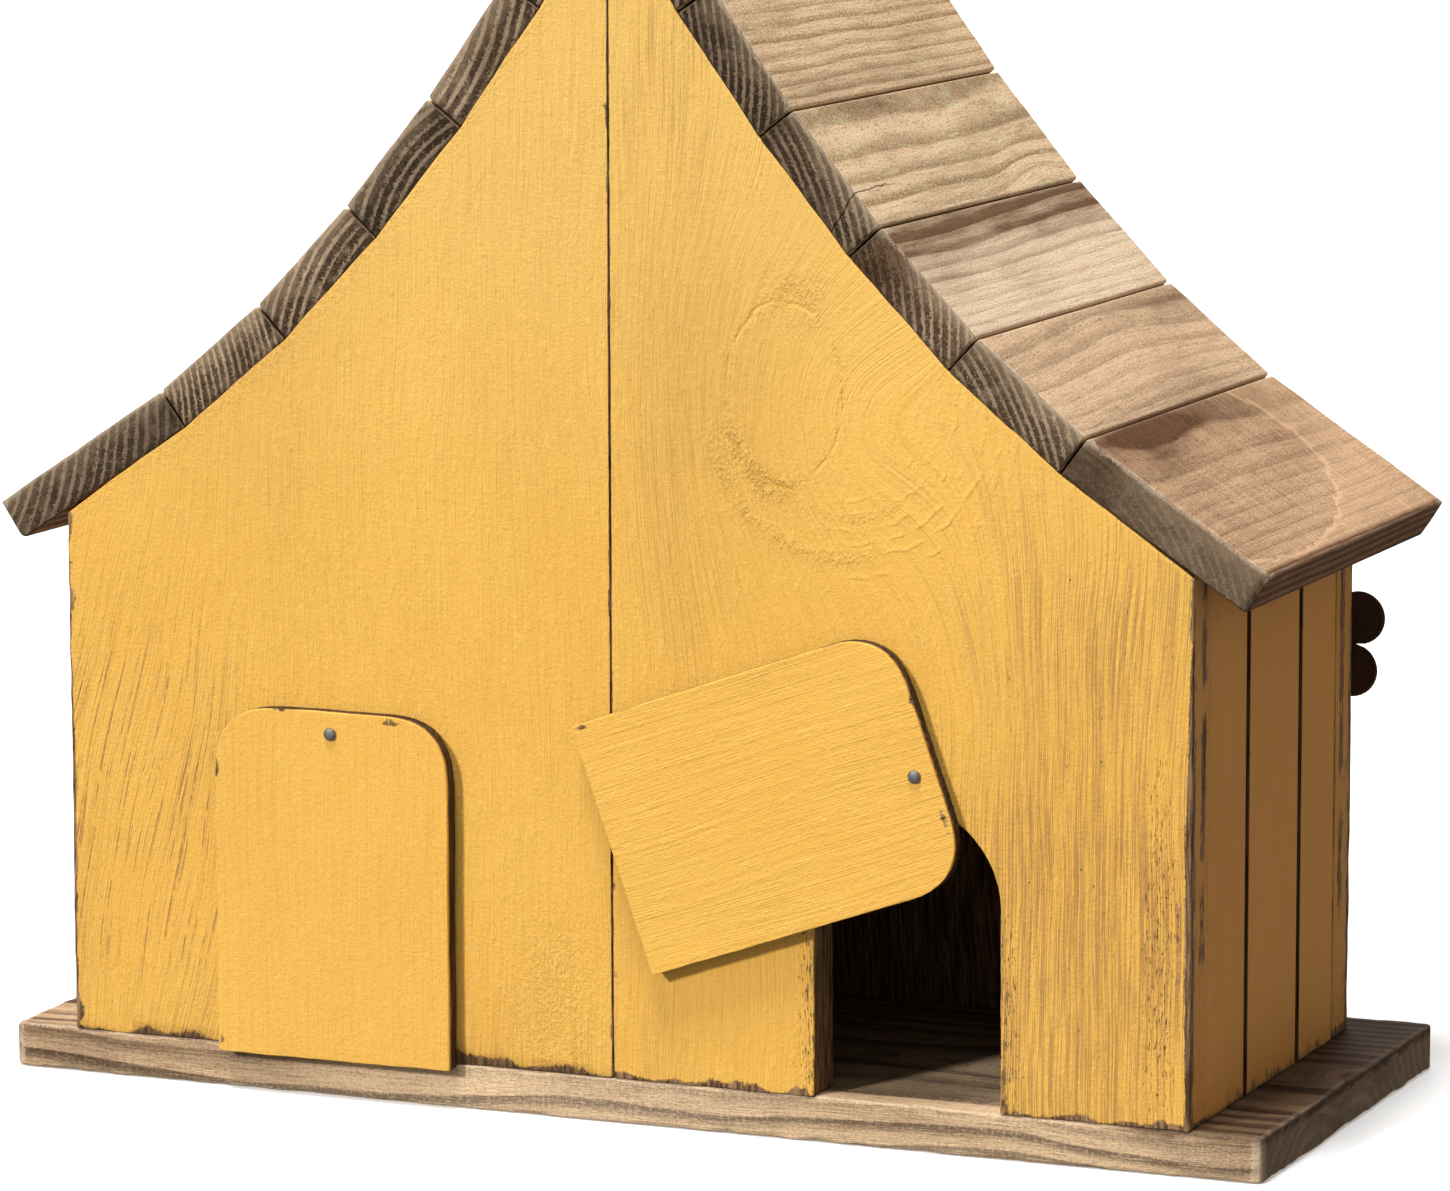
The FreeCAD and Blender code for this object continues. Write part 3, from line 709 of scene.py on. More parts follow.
def gable_outline(face):
    """Right-hand gable board, anticlockwise in (x, z), seam side first, with the clean-out gable's doorway."""
    (low_x, _, low_z), (high_x, _, _) = box_mm("back_gable_right")
    low_x -= SEAM_CLOSING[face]
    peak = np.array([low_x, underside_z(low_x) + GABLE_PEAK_RISE])
    top = [np.array([high_x, GABLE_CORNER_Z])] + INNER[1:-1] + [peak]
    outline = [np.array([low_x, low_z])]
    if face == "back":
        angles = np.linspace(math.pi, 0, 25)
        outline += [np.array([DOORWAY_CENTRE_X - DOORWAY_RADIUS, low_z])]
        outline += [np.array([DOORWAY_CENTRE_X + DOORWAY_RADIUS * math.cos(t),
                              DOORWAY_SPRING_Z + DOORWAY_RADIUS * math.sin(t)]) for t in angles]
        outline += [np.array([DOORWAY_CENTRE_X + DOORWAY_RADIUS, low_z])]
    outline += [np.array([high_x, low_z]), top[0]]
    for start, end in zip(top, top[1:]):
        run = end - start
        inward = np.array([-run[1], run[0]]) / np.linalg.norm(run)
        for share in np.linspace(0, 1, 9)[1:]:
            outline.append(start + run * share + inward * 4 * share * (1 - share) * GABLE_EDGE_SAG)
    radii = np.full(len(outline), 0.8)
    radii[-1] = 0
    return rounded(outline, radii)


def mirror_loop(loop):
    """The loop mirrored in x = 0, in the order that keeps its material on the same hand."""
    flipped = np.array(loop, float)[::-1].copy()
    flipped[:, 0] *= -1
    return flipped


# The knot under the paint of the right-hand clean-out gable: its middle and half size, in (x, z).
KNOT = (49.5, 197.0)
KNOT_SIZE = (16.5, 24.0)
SWIRL = (66.0, 191.0)
SWIRL_SIZE = (39.0, 37.0)


def oval(x, z, middle, size):
    """How far out a place is in an oval (1 on its rim), and its bearing in degrees from +x."""
    across, up = (x - middle[0]) / size[0], (z - middle[1]) / size[1]
    return np.hypot(across, up), np.degrees(np.arctan2(up, across))


def sector(bearing, middle, spread):
    """1 in the middle of a range of bearings, fading to 0 at its sides."""
    return step_up(spread - np.abs((bearing - middle + 180) % 360 - 180), 0, spread * 0.5)


def knot_traits(x, z):
    """How the grain bends round the painted-over knot, where its skin is ragged, where ridges show, and its relief."""
    out, bearing = oval(x, z, KNOT, KNOT_SIZE)
    swirl, swirl_bearing = oval(x, z, SWIRL, SWIRL_SIZE)
    flat = np.stack([x, z, np.zeros_like(x)], 1)
    patch = value_noise(flat, 5.0, 71)
    crumbs = value_noise(flat, 3.0, 72) + 0.6 * value_noise(flat, 1.8, 73)
    rim = hump(out - 1.0, 0.10)
    rim_rough = rim * np.maximum(sector(bearing, -118, 62), 0.35)
    low_rim = hump(out - 1.10, 0.17) * sector(bearing, -122, 48)
    top_patch = hump(x - 53, 9) * hump(z - 223, 8)
    tail = hump(swirl - 0.98, 0.05) * sector(swirl_bearing, -122, 62)
    inner_tail = hump(swirl - 0.70, 0.05) * sector(swirl_bearing, -80, 45)
    rough = 0.8 * rim_rough + 0.8 * low_rim + 0.8 * top_patch + 0.75 * tail + 0.5 * inner_tail
    rough = np.clip(rough * (0.75 + 0.6 * patch), 0, 1)
    arcs = step_up(swirl, 0.45, 0.65) * step_up(1.35 - swirl, 0, 0.3) * sector(swirl_bearing, -38, 75)
    ridge = np.clip(np.sin(2 * math.pi * 9.0 * swirl), 0, 1) ** 2
    proud = 0.06 * rim * (0.6 + 0.6 * patch) + 0.14 * tail + 0.30 * rough * crumbs + 0.07 * arcs * ridge
    bend = 40.0 * np.exp(-0.5 * np.hypot((x - 60) / 26, (z - 192) / 33) ** 2)
    return bend, np.clip(rough, 0, 1.0), arcs * (0.7 + 0.5 * patch), proud


def gable_traits(face, side):
    """Paint looks for a gable board: how thin the coat is, where the paint is worn or missing, painted shade on its
    side edges, and any knot.
    """
    low, high = box_mm(f"{face}_gable_{side}")
    outer_c = low.y if face == "back" else high.y
    offset = {"left": 3.0, "right": 7.0}[side] + (11.0 if face == "front" else 0.0)

    def traits(points, where, edge):
        x, z, depth = points[:, 0], points[:, 1], np.abs(points[:, 2] - outer_c)
        flat = np.stack([x, z * 0.6, np.full_like(x, offset)], 1)
        wander = value_noise(flat, 60.0, offset) * 7 + value_noise(flat, 22.0, offset + 1) * 1.6
        slow = 0.5 + 0.8 * value_noise(flat, 34.0, offset + 2)
        out = np.abs(x)
        if side == "left":
            thin = 0.35 * step_up(out, 70, 150) * step_up(170 - z, 0, 70) + 0.4 * step_up(40 - z, 0, 30)
            lines = step_up(out, 98, 126) * step_up(158 - z, 0, 65) * step_up(z, 20, 45) * (0.9 + 0.6 * slow)
        else:
            thin = 0.75 * step_up(out, 60, 120) * step_up(200 - z, 0, 60) + 0.6 * hump(out - 18, 16) * step_up(z, 90, 160)
            thin += 0.3 * step_up(120 - z, 0, 90)
            lines = 0.7 * step_up(out, 95, 125) * step_up(170 - z, 0, 60) * slow
        stain = np.clip(thin * (0.5 + slow) + 0.25 * np.maximum(slow - 0.55, 0) + 0.12, 0, 1.2)
        foot = 2.6 + (0.8 * step_up(58 - out, 0, 20) if side == "left" else 0.4)
        bottom = step_up(foot - (z - low.z) + 3.2 * value_noise(flat, 8.0, offset + 4), 0, 3.0)
        if side == "left":
            wander = wander - 0.2 * (z - 80) * step_up(out, 70, 140)
        painted_edge = (out > 160.3) & (z < GABLE_CORNER_Z + 1)
        found = {"ring": x + wander, "rough": np.zeros_like(x), "lines": np.where(painted_edge, 0, np.clip(lines, 0, 1))}
        found["stain"] = np.where(painted_edge & (depth > 1), 0.3, stain)
        # Painted shade: the side edges take the darker, browner coat.
        found["edge_coat"] = np.where(painted_edge, step_up(depth, 0.3, 1.5), 0)
        if face == "back" and side == "left":
            peeling = 0.3 * hump(out - 16, 13) * step_up(72 - z, 0, 40)
            under_roof = 0.35 * step_up(9 - (np.array([underside_z(v) for v in out]) - z), 0, 8)
            found["rough"] = np.where(depth < 2, np.maximum(peeling, under_roof) * (0.5 + slow), 0)
            # A dark, ragged strip along the foot of the board.
            found["grime"] = np.where(depth < 2, 0.55 * bottom, 0)
        spots = value_noise(np.stack([depth / 3, z, np.full_like(z, offset)], 1), 8.0, 88)
        smudge = hump(depth - 8.8, 1.8) * np.clip(0.95 + 1.4 * spots, 0, 1) * step_up(z, 30, 60)
        worn_strip = 0.3 * step_up(1.8 - depth, 0, 1.2) + 0.32 * step_up(5.0 - depth, 0, 3.5) * step_up(170 - z, 0, 90)
        found["bare"] = np.where(painted_edge, 0.26 + 0.5 * smudge + worn_strip,
                                 1.3 * step_up(depth, 0.4, 1.4))
        brink = 0.34 * step_up(out, 152, 158) * step_up(130 - z, 0, 50) * (0.6 + slow)
        flecks = 0.9 * hump(out - 153, 4.5) * step_up(135 - z, 0, 40) * (0.55 + slow)
        flecks += 0.2 * step_up(out, 118, 135) * step_up(110 - z, 0, 60)
        if face == "back":
            jamb = np.abs(out - DOORWAY_CENTRE_X) - DOORWAY_RADIUS
            near = step_up(8 - np.abs(jamb), 0, 6) * step_up(DOORWAY_SPRING_Z + 12 - z, 0, 25)
            brink = np.maximum(brink, 0.34 * near * (0.6 + slow))
            flecks = np.maximum(flecks, near * (0.6 + slow))
        found["flecks"] = np.where(painted_edge, 0, np.clip(flecks * {"left": 0.45, "right": 1.0}[side], 0, 1))
        found["bare"] = np.maximum.reduce([found["bare"], 0.78 * bottom, brink, 0.8 * step_up(0.55 - out, 0, 0.3)])
        if face == "back" and side == "right":
            bend, rough, arcs, proud = knot_traits(x, z)
            found["ring"] = found["ring"] + bend
            found["rough"] = np.where(depth < 2, rough, 0)
            found["arcs"] = np.where(depth < 2, arcs, 0)
            found["proud"] = np.where(depth < 2, proud, 0)
        return found

    return traits


def make_gable(face, side, material, seed):
    loops = [gable_outline(face)]
    if face == "front":
        loops.append(circle(*ENTRANCE, 60, clockwise=True))
    if side == "left":
        loops = [mirror_loop(loop) for loop in loops]
    node = f"{face}_gable_{side}"
    low, high = box_mm(node)
    cell = 1.4 if (face, side) == ("back", "right") else 2.6
    piece = board(f"{node}_board", loops, low.y, high.y, lambda a, b, c: (a, c, b), lambda a, b, c: (a, b, c), seed,
                  gable_traits(face, side), ease=0.5, cell=cell, depth_cell=2.2, wobble=0.2)
    finish_piece(piece, "house", "yellow_paint", material, node)


def slat_traits(side, index, grain_angle, reach, bends=(), stains=()):
    """Growth rings in a slat: a lean in the end view (degrees from upright), the pith's distance, and its marks.

    Each bend is (across, along, half width, half length, mm of ring shift), and each stain the same with a strength.
    """
    angle = math.radians(grain_angle)
    normal = np.array([math.cos(angle), math.sin(angle)])
    slope = math.radians(SLAT_SLOPES[index])
    hand = SIDES[side]
    across = np.array([hand * math.cos(slope), -math.sin(slope)])
    out = np.array([hand * math.sin(slope), math.cos(slope)])
    direction = np.array([normal @ across, normal @ out])
    width = float(np.linalg.norm(OUTER[index + 1] - OUTER[index]))
    pith = np.array([width / 2, -SLAT_THICKNESS / 2]) - reach * direction

    def traits(points, where, edge):
        a, along, c = where.T
        key = np.stack([a * 0.8, along * 0.3, c * 0.8 + 50 * index + 7 * hand], 1)
        distance = np.hypot(a - pith[0], c - pith[1]) * math.copysign(1, reach)
        distance = distance + 0.25 * value_noise(key, 11.0, 5 + index) + 0.8 * value_noise(key, 26.0, 9 + index)
        for place, run, half, length, shift in bends:
            distance = distance + shift * np.exp(-((a - place) / half) ** 2 - ((along - run) / length) ** 2)
        stain = 0.25 * np.clip(value_noise(key, 14.0, 15 + index) + 0.1, 0, 1)
        # Painted shade: the slat's underside is darkened through the stain value.
        stain = stain + 0.75 * step_up(-c, SLAT_THICKNESS - 0.8, SLAT_THICKNESS - 0.2)
        for place, run, half, length, strength in stains:
            blot = np.exp(-((a - place) / half) ** 2 - ((along - run) / length) ** 2)
            stain = stain + strength * np.clip(blot * (1 + 0.5 * value_noise(key, 7.0, 25 + index)), 0, 1)
        to_end = np.minimum(along - along.min(), along.max() - along)
        wear = step_up(c, -3.0, -1.0) * (0.12 + 0.88 * step_up(4 - to_end, 0, 2))
        # Painted shade: the faces in the gaps between slats are mixed towards near-black, less so at the slat ends.
        joint = (np.minimum(a, width - a) < 1.0) if index else (a < 1.0)
        gap_shade = np.where(joint, step_up(-c, 0.9, 2.2) * step_up(SLAT_THICKNESS + c, 0.4, 1.4), 0)
        gap_shade = gap_shade * (0.35 + 0.65 * step_up(to_end, 0.3, 1.2))
        end_light = step_up(c + 1.5 * value_noise(key, 9.0, 35 + index), -6.5, -0.8)
        return {"ring": distance, "stain": np.clip(stain, 0, 1), "bare": wear + 0.03, "rough": gap_shade,
                "end_light": end_light}

    return traits


def make_slat(side, index, material, seed, traits):
    """One slat, cut a little short of its neighbours; the ridge slats meet."""
    node = f"eave_slat_{side}" if index == 0 else f"roof_slat_{side}_{index}"
    along = (OUTER[index + 1] - OUTER[index]) / np.linalg.norm(OUTER[index + 1] - OUTER[index])
    upper_gap = SLAT_GAP if index < len(SLAT_SLOPES) - 1 else -0.1
    corners = [INNER[index] + along * SLAT_GAP, OUTER[index] + along * SLAT_GAP,
               OUTER[index + 1] - along * upper_gap, INNER[index + 1] - along * upper_gap]
    if index == 0:
        corners[0], corners[1] = INNER[0], OUTER[0]
    radii = [0.9, 0.9, 0.9, 0.9]
    if index == 0:
        radii[0] = 2.2 if side == "left" else 1.4
    if index == len(SLAT_SLOPES) - 1:
        radii[2] = radii[3] = 0.3
    loop = rounded(corners, radii)
    across = np.array([-along[0], -along[1]])
    out = slope_normal(SLAT_SLOPES[index])
    origin = OUTER[index + 1]
    if side == "left":
        loop = mirror_loop(loop)
        across, out, origin = (np.array([-v[0], v[1]]) for v in (across, out, origin))
    low, high = box_mm(node)

    def grain(a, b, c):
        offset = np.array([a, b]) - origin
        return offset @ across, c, offset @ out

    piece = board(f"{node}_wood", [loop], low.y, high.y, lambda a, b, c: (a, c, b), grain, seed, traits,
                  ease=0.6, cell=2.0, depth_cell=2.5, wobble=0.14)
    finish_piece(piece, "house", "roof_wood", material, node)


def make_base(material):
    low, high = box_mm("base_board")
    corners = [(low.x, low.y), (high.x, low.y), (high.x, high.y), (low.x, high.y)]
    places = [(x, y) for x in GABLE_NAIL_XS for y in GABLE_NAIL_YS] + [(x, y) for x in WALL_NAIL_XS for y in WALL_NAIL_YS]
    loops = [rounded(corners, 4.0, 6)] + [circle(x, y, NAIL_SEAT_RADIUS, 12, clockwise=True) for x, y in places]

    def traits(points, where, edge):
        a, along, c = where.T
        key = np.stack([a * 0.7, along * 0.25, c * 0.7], 1)
        ring = np.hypot(a + 20, c + 60) + 1.3 * value_noise(key, 12.0, 61) + 6.0 * value_noise(key, 24.0, 62)
        stain = 0.5 * np.clip(value_noise(key, 18.0, 63) + 0.15, 0, 1)
        stain += 0.4 * hump(along - low.x, 70) + 0.3 * hump(along - high.x, 60)
        on_top = step_up(c, high.z - 2, high.z)
        # Painted shade: the base's top at its right end, under the eave, is stained darker, less worn and mixed towards
        # near-black, and its top inside the house is mixed towards near-black too.
        shade = step_up(along, high.x - 50, high.x - 22) * on_top
        indoor_shade = on_top * (np.abs(a) < 60) * (np.abs(along) < 160)
        return {"ring": ring, "stain": np.clip(stain + shade, 0, 1), "bare": np.full_like(a, 0.7) * (1 - 0.5 * shade),
                "rough": 0.6 * shade + 0.3 * indoor_shade, "end_light": np.full_like(a, 0.5)}

    piece = board("base_board_wood", loops, low.z, high.z, lambda a, b, c: (a, b, c), lambda a, b, c: (b, a, c), 31,
                  traits, ease=1.4, cell=3.0, depth_cell=2.5, wobble=0.3, hole_ease=0.1)
    finish_piece(piece, "house", "base_wood", material, "base_board")


def make_side_wall(side, material, seed):
    """Outline in (y, x), with its two sawn grooves, drawn up to the bevelled top."""
    node = f"side_wall_{side}"
    low, high = box_mm(node)
    back_y = box_mm("back_gable_left")[0].y
    thickness = high.x - low.x
    outline = [(low.y, -thickness), (high.y, -thickness), (high.y, -SEAM_GROOVE[1]),
               (high.y - SEAM_GROOVE[0], -SEAM_GROOVE[1]), (high.y - SEAM_GROOVE[0], 0)]
    grooves = [back_y + distance for distance in GROOVE_DISTANCES]
    for middle in grooves[::-1]:
        outline += [(middle + GROOVE_SIZE / 2, 0), (middle + GROOVE_SIZE / 2 - 0.3, -GROOVE_SIZE),
                    (middle - GROOVE_SIZE / 2 + 0.3, -GROOVE_SIZE), (middle - GROOVE_SIZE / 2, 0)]
    outline += [(low.y, 0)]
    sign = SIDES[side]
    outer_x = max(abs(low.x), abs(high.x))
    bottom = low.z

    def place(a, b, c):
        x = outer_x + b
        top = underside_z(x) - 0.3
        return sign * x, a, bottom + (c - bottom) * (top - bottom) / (high.z - bottom)

    def grain(a, b, c):
        return a, c, b

    def traits(points, where, edge):
        a, b, c = points.T
        in_groove = np.min([np.abs(a - middle) for middle in grooves], axis=0) < GROOVE_SIZE / 2 + 0.05
        in_groove |= a > high.y - SEAM_GROOVE[0] - 0.1
        flat = np.stack([a, c * 0.4, np.full_like(a, seed)], 1)
        bare = np.where(b < -thickness + 0.5, 1.0, 0.0)
        # Painted shade: the walls of the grooves and of the seam rabbet are near-black bare wood.
        bare = np.where(in_groove & (b < -0.2), 1.42, bare)
        foot = step_up(5 - (c - bottom) + 3 * value_noise(flat, 6.0, seed), 0, 4)
        stain = 0.3 + 0.4 * value_noise(flat, 20.0, seed + 1) + 0.5 * foot
        return {"ring": a + 3 * value_noise(flat, 30.0, seed + 2), "stain": np.clip(stain, 0, 1),
                "bare": np.maximum(bare, 0.55 * foot)}

    piece = board(f"{node}_board", [rounded(outline, 0.5)], low.z, high.z, place, grain, seed, traits,
                  ease=0.4, cell=1.8, depth_cell=3.0, wobble=0.08)
    finish_piece(piece, "house", "yellow_paint", material, node)


def make_divider(material):
    low, high = box_mm("divider")
    loop = rounded([(low.x, low.z), (high.x, low.z), (high.x, high.z), (low.x, high.z)], 0.5)
    piece = board("divider_board", [loop], low.y, high.y, lambda a, b, c: (a, c, b), lambda a, b, c: (c, b, a), 47,
                  ease=0.5, cell=4.0, wobble=0.1)
    finish_piece(piece, "house", "bare_wood", material, "divider")


def joint_place(body):
    """Where the record has a body's joint (mm)."""
    joint = next(j for j in frame["record"]["behaviour"]["joints"] if j["child"] == body)
    return Vector(joint["pos_m"]) / MM


def make_door(side, middle_offset, swing, material, seed):
    """A door drawn hanging shut and turned about its nail to its rest swing."""
    node = f"cleanout_door_{side}"
    body = f"{side}_door"
    low, high = box_mm(node)
    pivot = joint_place(body)
    width, height = DOOR_SIZE
    left = -middle_offset - width / 2
    top = DOOR_NAIL_DROP
    corners = [(left, top - height), (left + width, top - height), (left + width, top), (left, top)]
    loops = [rounded(corners, [0.8, 0.8, DOOR_CORNER_RADIUS, DOOR_CORNER_RADIUS], 10), circle(0, 0, 0.95, 12, True)]
    turn = math.radians(swing)

    def place(a, b, c):
        x = a * math.cos(turn) + b * math.sin(turn)
        z = -a * math.sin(turn) + b * math.cos(turn)
        return pivot.x + x, c, pivot.z + z

    def traits(points, where, edge):
        a, b, c = points.T
        flat = np.stack([a, b * 0.5, np.full_like(a, seed)], 1)
        slow = value_noise(flat, 18.0, seed)
        nicks = [(left + 20, top, 3.0, 1.0), (left + width - 17, top - 1.5, 5.0, 1.4), (left + 1, top - height + 3, 1.2, 3),
                 (left, top - 17, 0.8, 4)]
        bare = 0.62 * sum(np.exp(-((a - u) / du) ** 2 - ((b - v) / dv) ** 2) for u, v, du, dv in nicks)
        # The door's edges and back are unpainted wood, darkened to near-black as painted shade.
        return {"ring": a + 2.5 * value_noise(flat, 30.0, seed + 3), "stain": np.clip(0.28 + 0.5 * slow, 0, 1),
                "bare": np.clip(bare * 1.1, 0, 1) + np.where(np.abs(c - low.y) > 0.9, 1.45, 0), "rough": 0.03 + 0.05 * slow}

    piece = board(f"{node}_panel", loops, low.y, high.y, place, lambda a, b, c: (a, b, c), seed, traits,
                  ease=0.35, cell=2.0, depth_cell=1.6, wobble=0.15)
    finish_piece(piece, body, "yellow_paint", material, node)


def turned(name, profile, middle, axis, seed, count=28, wobble=0.02):
    """A round piece about an axis: profile is (distance along the axis, radius), from one end's middle to the other's."""
    side = axis.orthogonal().normalized()
    other = axis.cross(side)
    points, faces = [], []
    for along, radius in profile:
        if radius == 0:
            points.append(middle + axis * along)
            continue
        for k in range(count):
            angle = 2 * math.pi * k / count
            uneven = 1 + wobble * noise.noise(Vector((3 * math.cos(angle), 3 * math.sin(angle), along + seed * 7)))
            points.append(middle + axis * along + (side * math.cos(angle) + other * math.sin(angle)) * radius * uneven)
    starts, start = [], 0
    for _, radius in profile:
        starts.append((start, radius > 0))
        start += count if radius > 0 else 1
    for (a, ring_a), (b, ring_b) in zip(starts, starts[1:]):
        for k in range(count):
            n = (k + 1) % count
            if ring_a and ring_b:
                faces.append((a + k, a + n, b + n, b + k))
            elif ring_a:
                faces.append((a + k, a + n, b))
            elif ring_b:
                faces.append((a, b + n, b + k))
    mesh = bpy.data.meshes.new(name)
    mesh.from_pydata([tuple(p * MM) for p in points], [], faces)
    mesh.update()
    if signed_volume(mesh) < 0:
        mesh.flip_normals()
        mesh.update()
    mesh.polygons.foreach_set("use_smooth", [True] * len(mesh.polygons))
    piece = bpy.data.objects.new(name, mesh)
    bpy.context.scene.collection.objects.link(piece)
    return piece


def make_door_nail(side, material):
    """A round-headed nail: shank into the board, and a domed head with a rolled, slightly uneven rim."""
    node = f"door_nail_{side}"
    low, high = box_mm(node)
    middle = Vector(((low.x + high.x) / 2, low.y, (low.z + high.z) / 2))
    head = (high.x - low.x) / 2
    shank = 0.9
    length = high.y - low.y
    profile = [(0, 0), (0.03, 0.45 * head), (0.16, 0.75 * head), (0.38, 0.94 * head), (0.6, head), (0.78, 0.98 * head),
               (0.9, 0.9 * head), (0.92, shank), (length - 2.5, shank), (length - 0.3, 0.25), (length, 0)]
    piece = turned(f"{node}_steel", profile, middle, Vector((0, 1, 0)), 3 if side == "left" else 4, wobble=0.05)
    finish_piece(piece, "house", "steel", material, node)


def make_flower(petal_material, button_material):
    """The metal flower: a cupped sheet with six rounded petals, its spacer and its button."""
    low, high = box_mm("flower_petals")
    middle = Vector(((low.x + high.x) / 2, 0, (low.z + high.z) / 2))
    petals = [math.radians(FLOWER_FIRST_ANGLE + 60 * k) for k in range(6)]
    centres = [(PETAL_RING * math.cos(t), PETAL_RING * math.sin(t)) for t in petals]
    rays, steps = 180, 16
    thickness = high.y - low.y

    def reach(angle):
        return max([8.0] + [edge_of_petal(angle, c) for c in centres])

    def edge_of_petal(angle, centre):
        along = centre[0] * math.cos(angle) + centre[1] * math.sin(angle)
        aside = centre[0] * math.sin(angle) - centre[1] * math.cos(angle)
        return along + math.sqrt(PETAL_RADIUS ** 2 - aside ** 2) if abs(aside) < PETAL_RADIUS else 0.0

    points, faces = [], []
    for back in (0, 1):
        for step in range(1, steps + 1):
            for ray in range(rays):
                angle = 2 * math.pi * ray / rays
                distance = reach(angle) * (step / steps) ** 0.85
                x, z = distance * math.cos(angle), distance * math.sin(angle)
                cups = [1 - ((x - c[0]) ** 2 + (z - c[1]) ** 2) / PETAL_RADIUS ** 2 for c in centres]
                dome = 0.9 * math.sqrt(max(0.0, max(cups))) - 0.35 * max(0.0, 1 - distance / 10)
                rim = min(1.0, 0.3 + 0.35 * (steps - step))
                y = low.y + (thickness * rim + dome if back else dome * 0.9) + 0.15 * noise.noise(Vector((x, z, 4)) / 6)
                points.append((middle.x + x, y, middle.z + z))
    centre_start = len(points)
    points += [(middle.x, low.y, middle.z), (middle.x, low.y + thickness, middle.z)]
    layer = rays * steps
    for ray in range(rays):
        n = (ray + 1) % rays
        for step in range(steps - 1):
            a, b = step * rays, (step + 1) * rays
            faces.append((a + ray, a + n, b + n, b + ray))
            faces.append((layer + a + ray, layer + b + ray, layer + b + n, layer + a + n))
        rim = (steps - 1) * rays
        faces.append((rim + ray, rim + n, layer + rim + n, layer + rim + ray))
        faces.append((centre_start, n, ray))
        faces.append((centre_start + 1, layer + ray, layer + n))
    mesh = bpy.data.meshes.new("flower_petals_sheet")
    mesh.from_pydata([tuple(v * MM for v in p) for p in points], [], faces)
    mesh.update()
    if signed_volume(mesh) < 0:
        mesh.flip_normals()
        mesh.update()
    mesh.polygons.foreach_set("use_smooth", [True] * len(mesh.polygons))
    sheet = bpy.data.objects.new("flower_petals_sheet", mesh)
    bpy.context.scene.collection.objects.link(sheet)
    finish_piece(sheet, "house", "dark_metal", petal_material, "flower_petals")

    low, high = box_mm("flower_nail")
    button = 6.5
    face = high.y - 3.2
    profile = [(0, 0), (2.5, 0.6), (face - low.y, 0.9), (face - low.y + 0.05, 0.92 * button), (face - low.y + 0.5, button),
               (face - low.y + 1.3, 0.97 * button), (face - low.y + 2.2, 0.8 * button), (face - low.y + 2.9, 0.5 * button),
               (high.y - low.y, 0)]
    start = Vector(((low.x + high.x) / 2, low.y, (low.z + high.z) / 2))
    nail = turned("flower_nail_button", profile, start, Vector((0, 1, 0)), 8, count=40)
    finish_piece(nail, "house", "dark_metal", button_material, "flower_nail")
    low, high = box_mm("flower_spacer")
    start = Vector(((low.x + high.x) / 2, low.y, (low.z + high.z) / 2))
    radius, length = (high.x - low.x) / 2, high.y - low.y
    profile = [(0, 1.0), (0, radius - 0.3), (0.3, radius), (length - 0.3, radius), (length, radius - 0.3), (length, 1.0)]
    spacer = turned("flower_spacer_collar", profile + profile[:1], start, Vector((0, 1, 0)), 9, count=32)
    finish_piece(spacer, "house", "dark_metal", petal_material, "flower_spacer")


# ---------------------------------------------------------------- build

PAINT = (0.84, 0.475, 0.093)
# The side walls' paint is a darker, browner copy of PAINT as painted shade: strongly on the right, slightly on the
# left.
SHADED_SIDE_PAINT = {"left": (0.81, 0.425, 0.09), "right": (0.775, 0.36, 0.088)}
PALE_END, DARK_END = (0.66, 0.475, 0.30), (0.082, 0.048, 0.027)
WORN_ARRIS = (0.80, 0.63, 0.45)

# Lean of the growth rings in the end view, ring spacing, pith distance, face colours, ring contrast.
SLAT_GRAIN = {
    ("right", 5): (5, 2.4, 90, (0.96, 0.64, 0.39), (0.43, 0.24, 0.12), 0.9),
    ("right", 4): (2, 2.3, 95, (1.0, 0.68, 0.42), (0.44, 0.245, 0.12), 0.95),
    ("right", 3): (22, 2.4, 80, (1.0, 0.685, 0.435), (0.43, 0.255, 0.125), 1.0),
    ("right", 2): (8, 2.4, 85, (1.0, 0.73, 0.50), (0.60, 0.385, 0.25), 0.75),
    ("right", 1): (24, 2.3, 80, (0.76, 0.52, 0.325), (0.42, 0.255, 0.15), 0.7),
    ("right", 0): (32, 2.3, 70, (0.60, 0.385, 0.225), (0.29, 0.165, 0.09), 0.5),
    # The left slats' face colours are darker than the right slats' as painted shade, offsetting the stronger key light
    # on the left slope.
    ("left", 5): (-20, 2.6, 80, (0.70, 0.475, 0.285), (0.33, 0.205, 0.12), 0.8),
    ("left", 4): (-24, 3.0, 90, (0.70, 0.475, 0.285), (0.33, 0.205, 0.12), 0.8),
    ("left", 3): (-36, 3.2, -45, (0.70, 0.475, 0.285), (0.33, 0.205, 0.12), 0.8),
    ("left", 2): (-28, 2.8, -70, (0.73, 0.50, 0.305), (0.34, 0.215, 0.13), 0.8),
    ("left", 1): (14, 2.1, 90, (0.67, 0.445, 0.265), (0.32, 0.195, 0.115), 0.8),
    ("left", 0): (-12, 2.9, 110, (0.62, 0.42, 0.255), (0.30, 0.19, 0.115), 0.6),
}
SLAT_ENDS = {("right", 5): (0.85, 1.0), ("right", 4): (0.80, 1.0), ("right", 3): (0.95, 1.0), ("right", 2): (2.0, 1.0),
             ("right", 1): (1.25, 0.9), ("right", 0): (1.18, 0.45), ("left", 4): (1.25, 1.0), ("left", 3): (0.80, 1.0),
             ("left", 2): (1.25, 1.0), ("left", 1): (1.38, 1.0), ("left", 0): (0.85, 0.9)}
SLAT_SAWN = {("right", 0): 0.75, ("right", 1): 0.3}
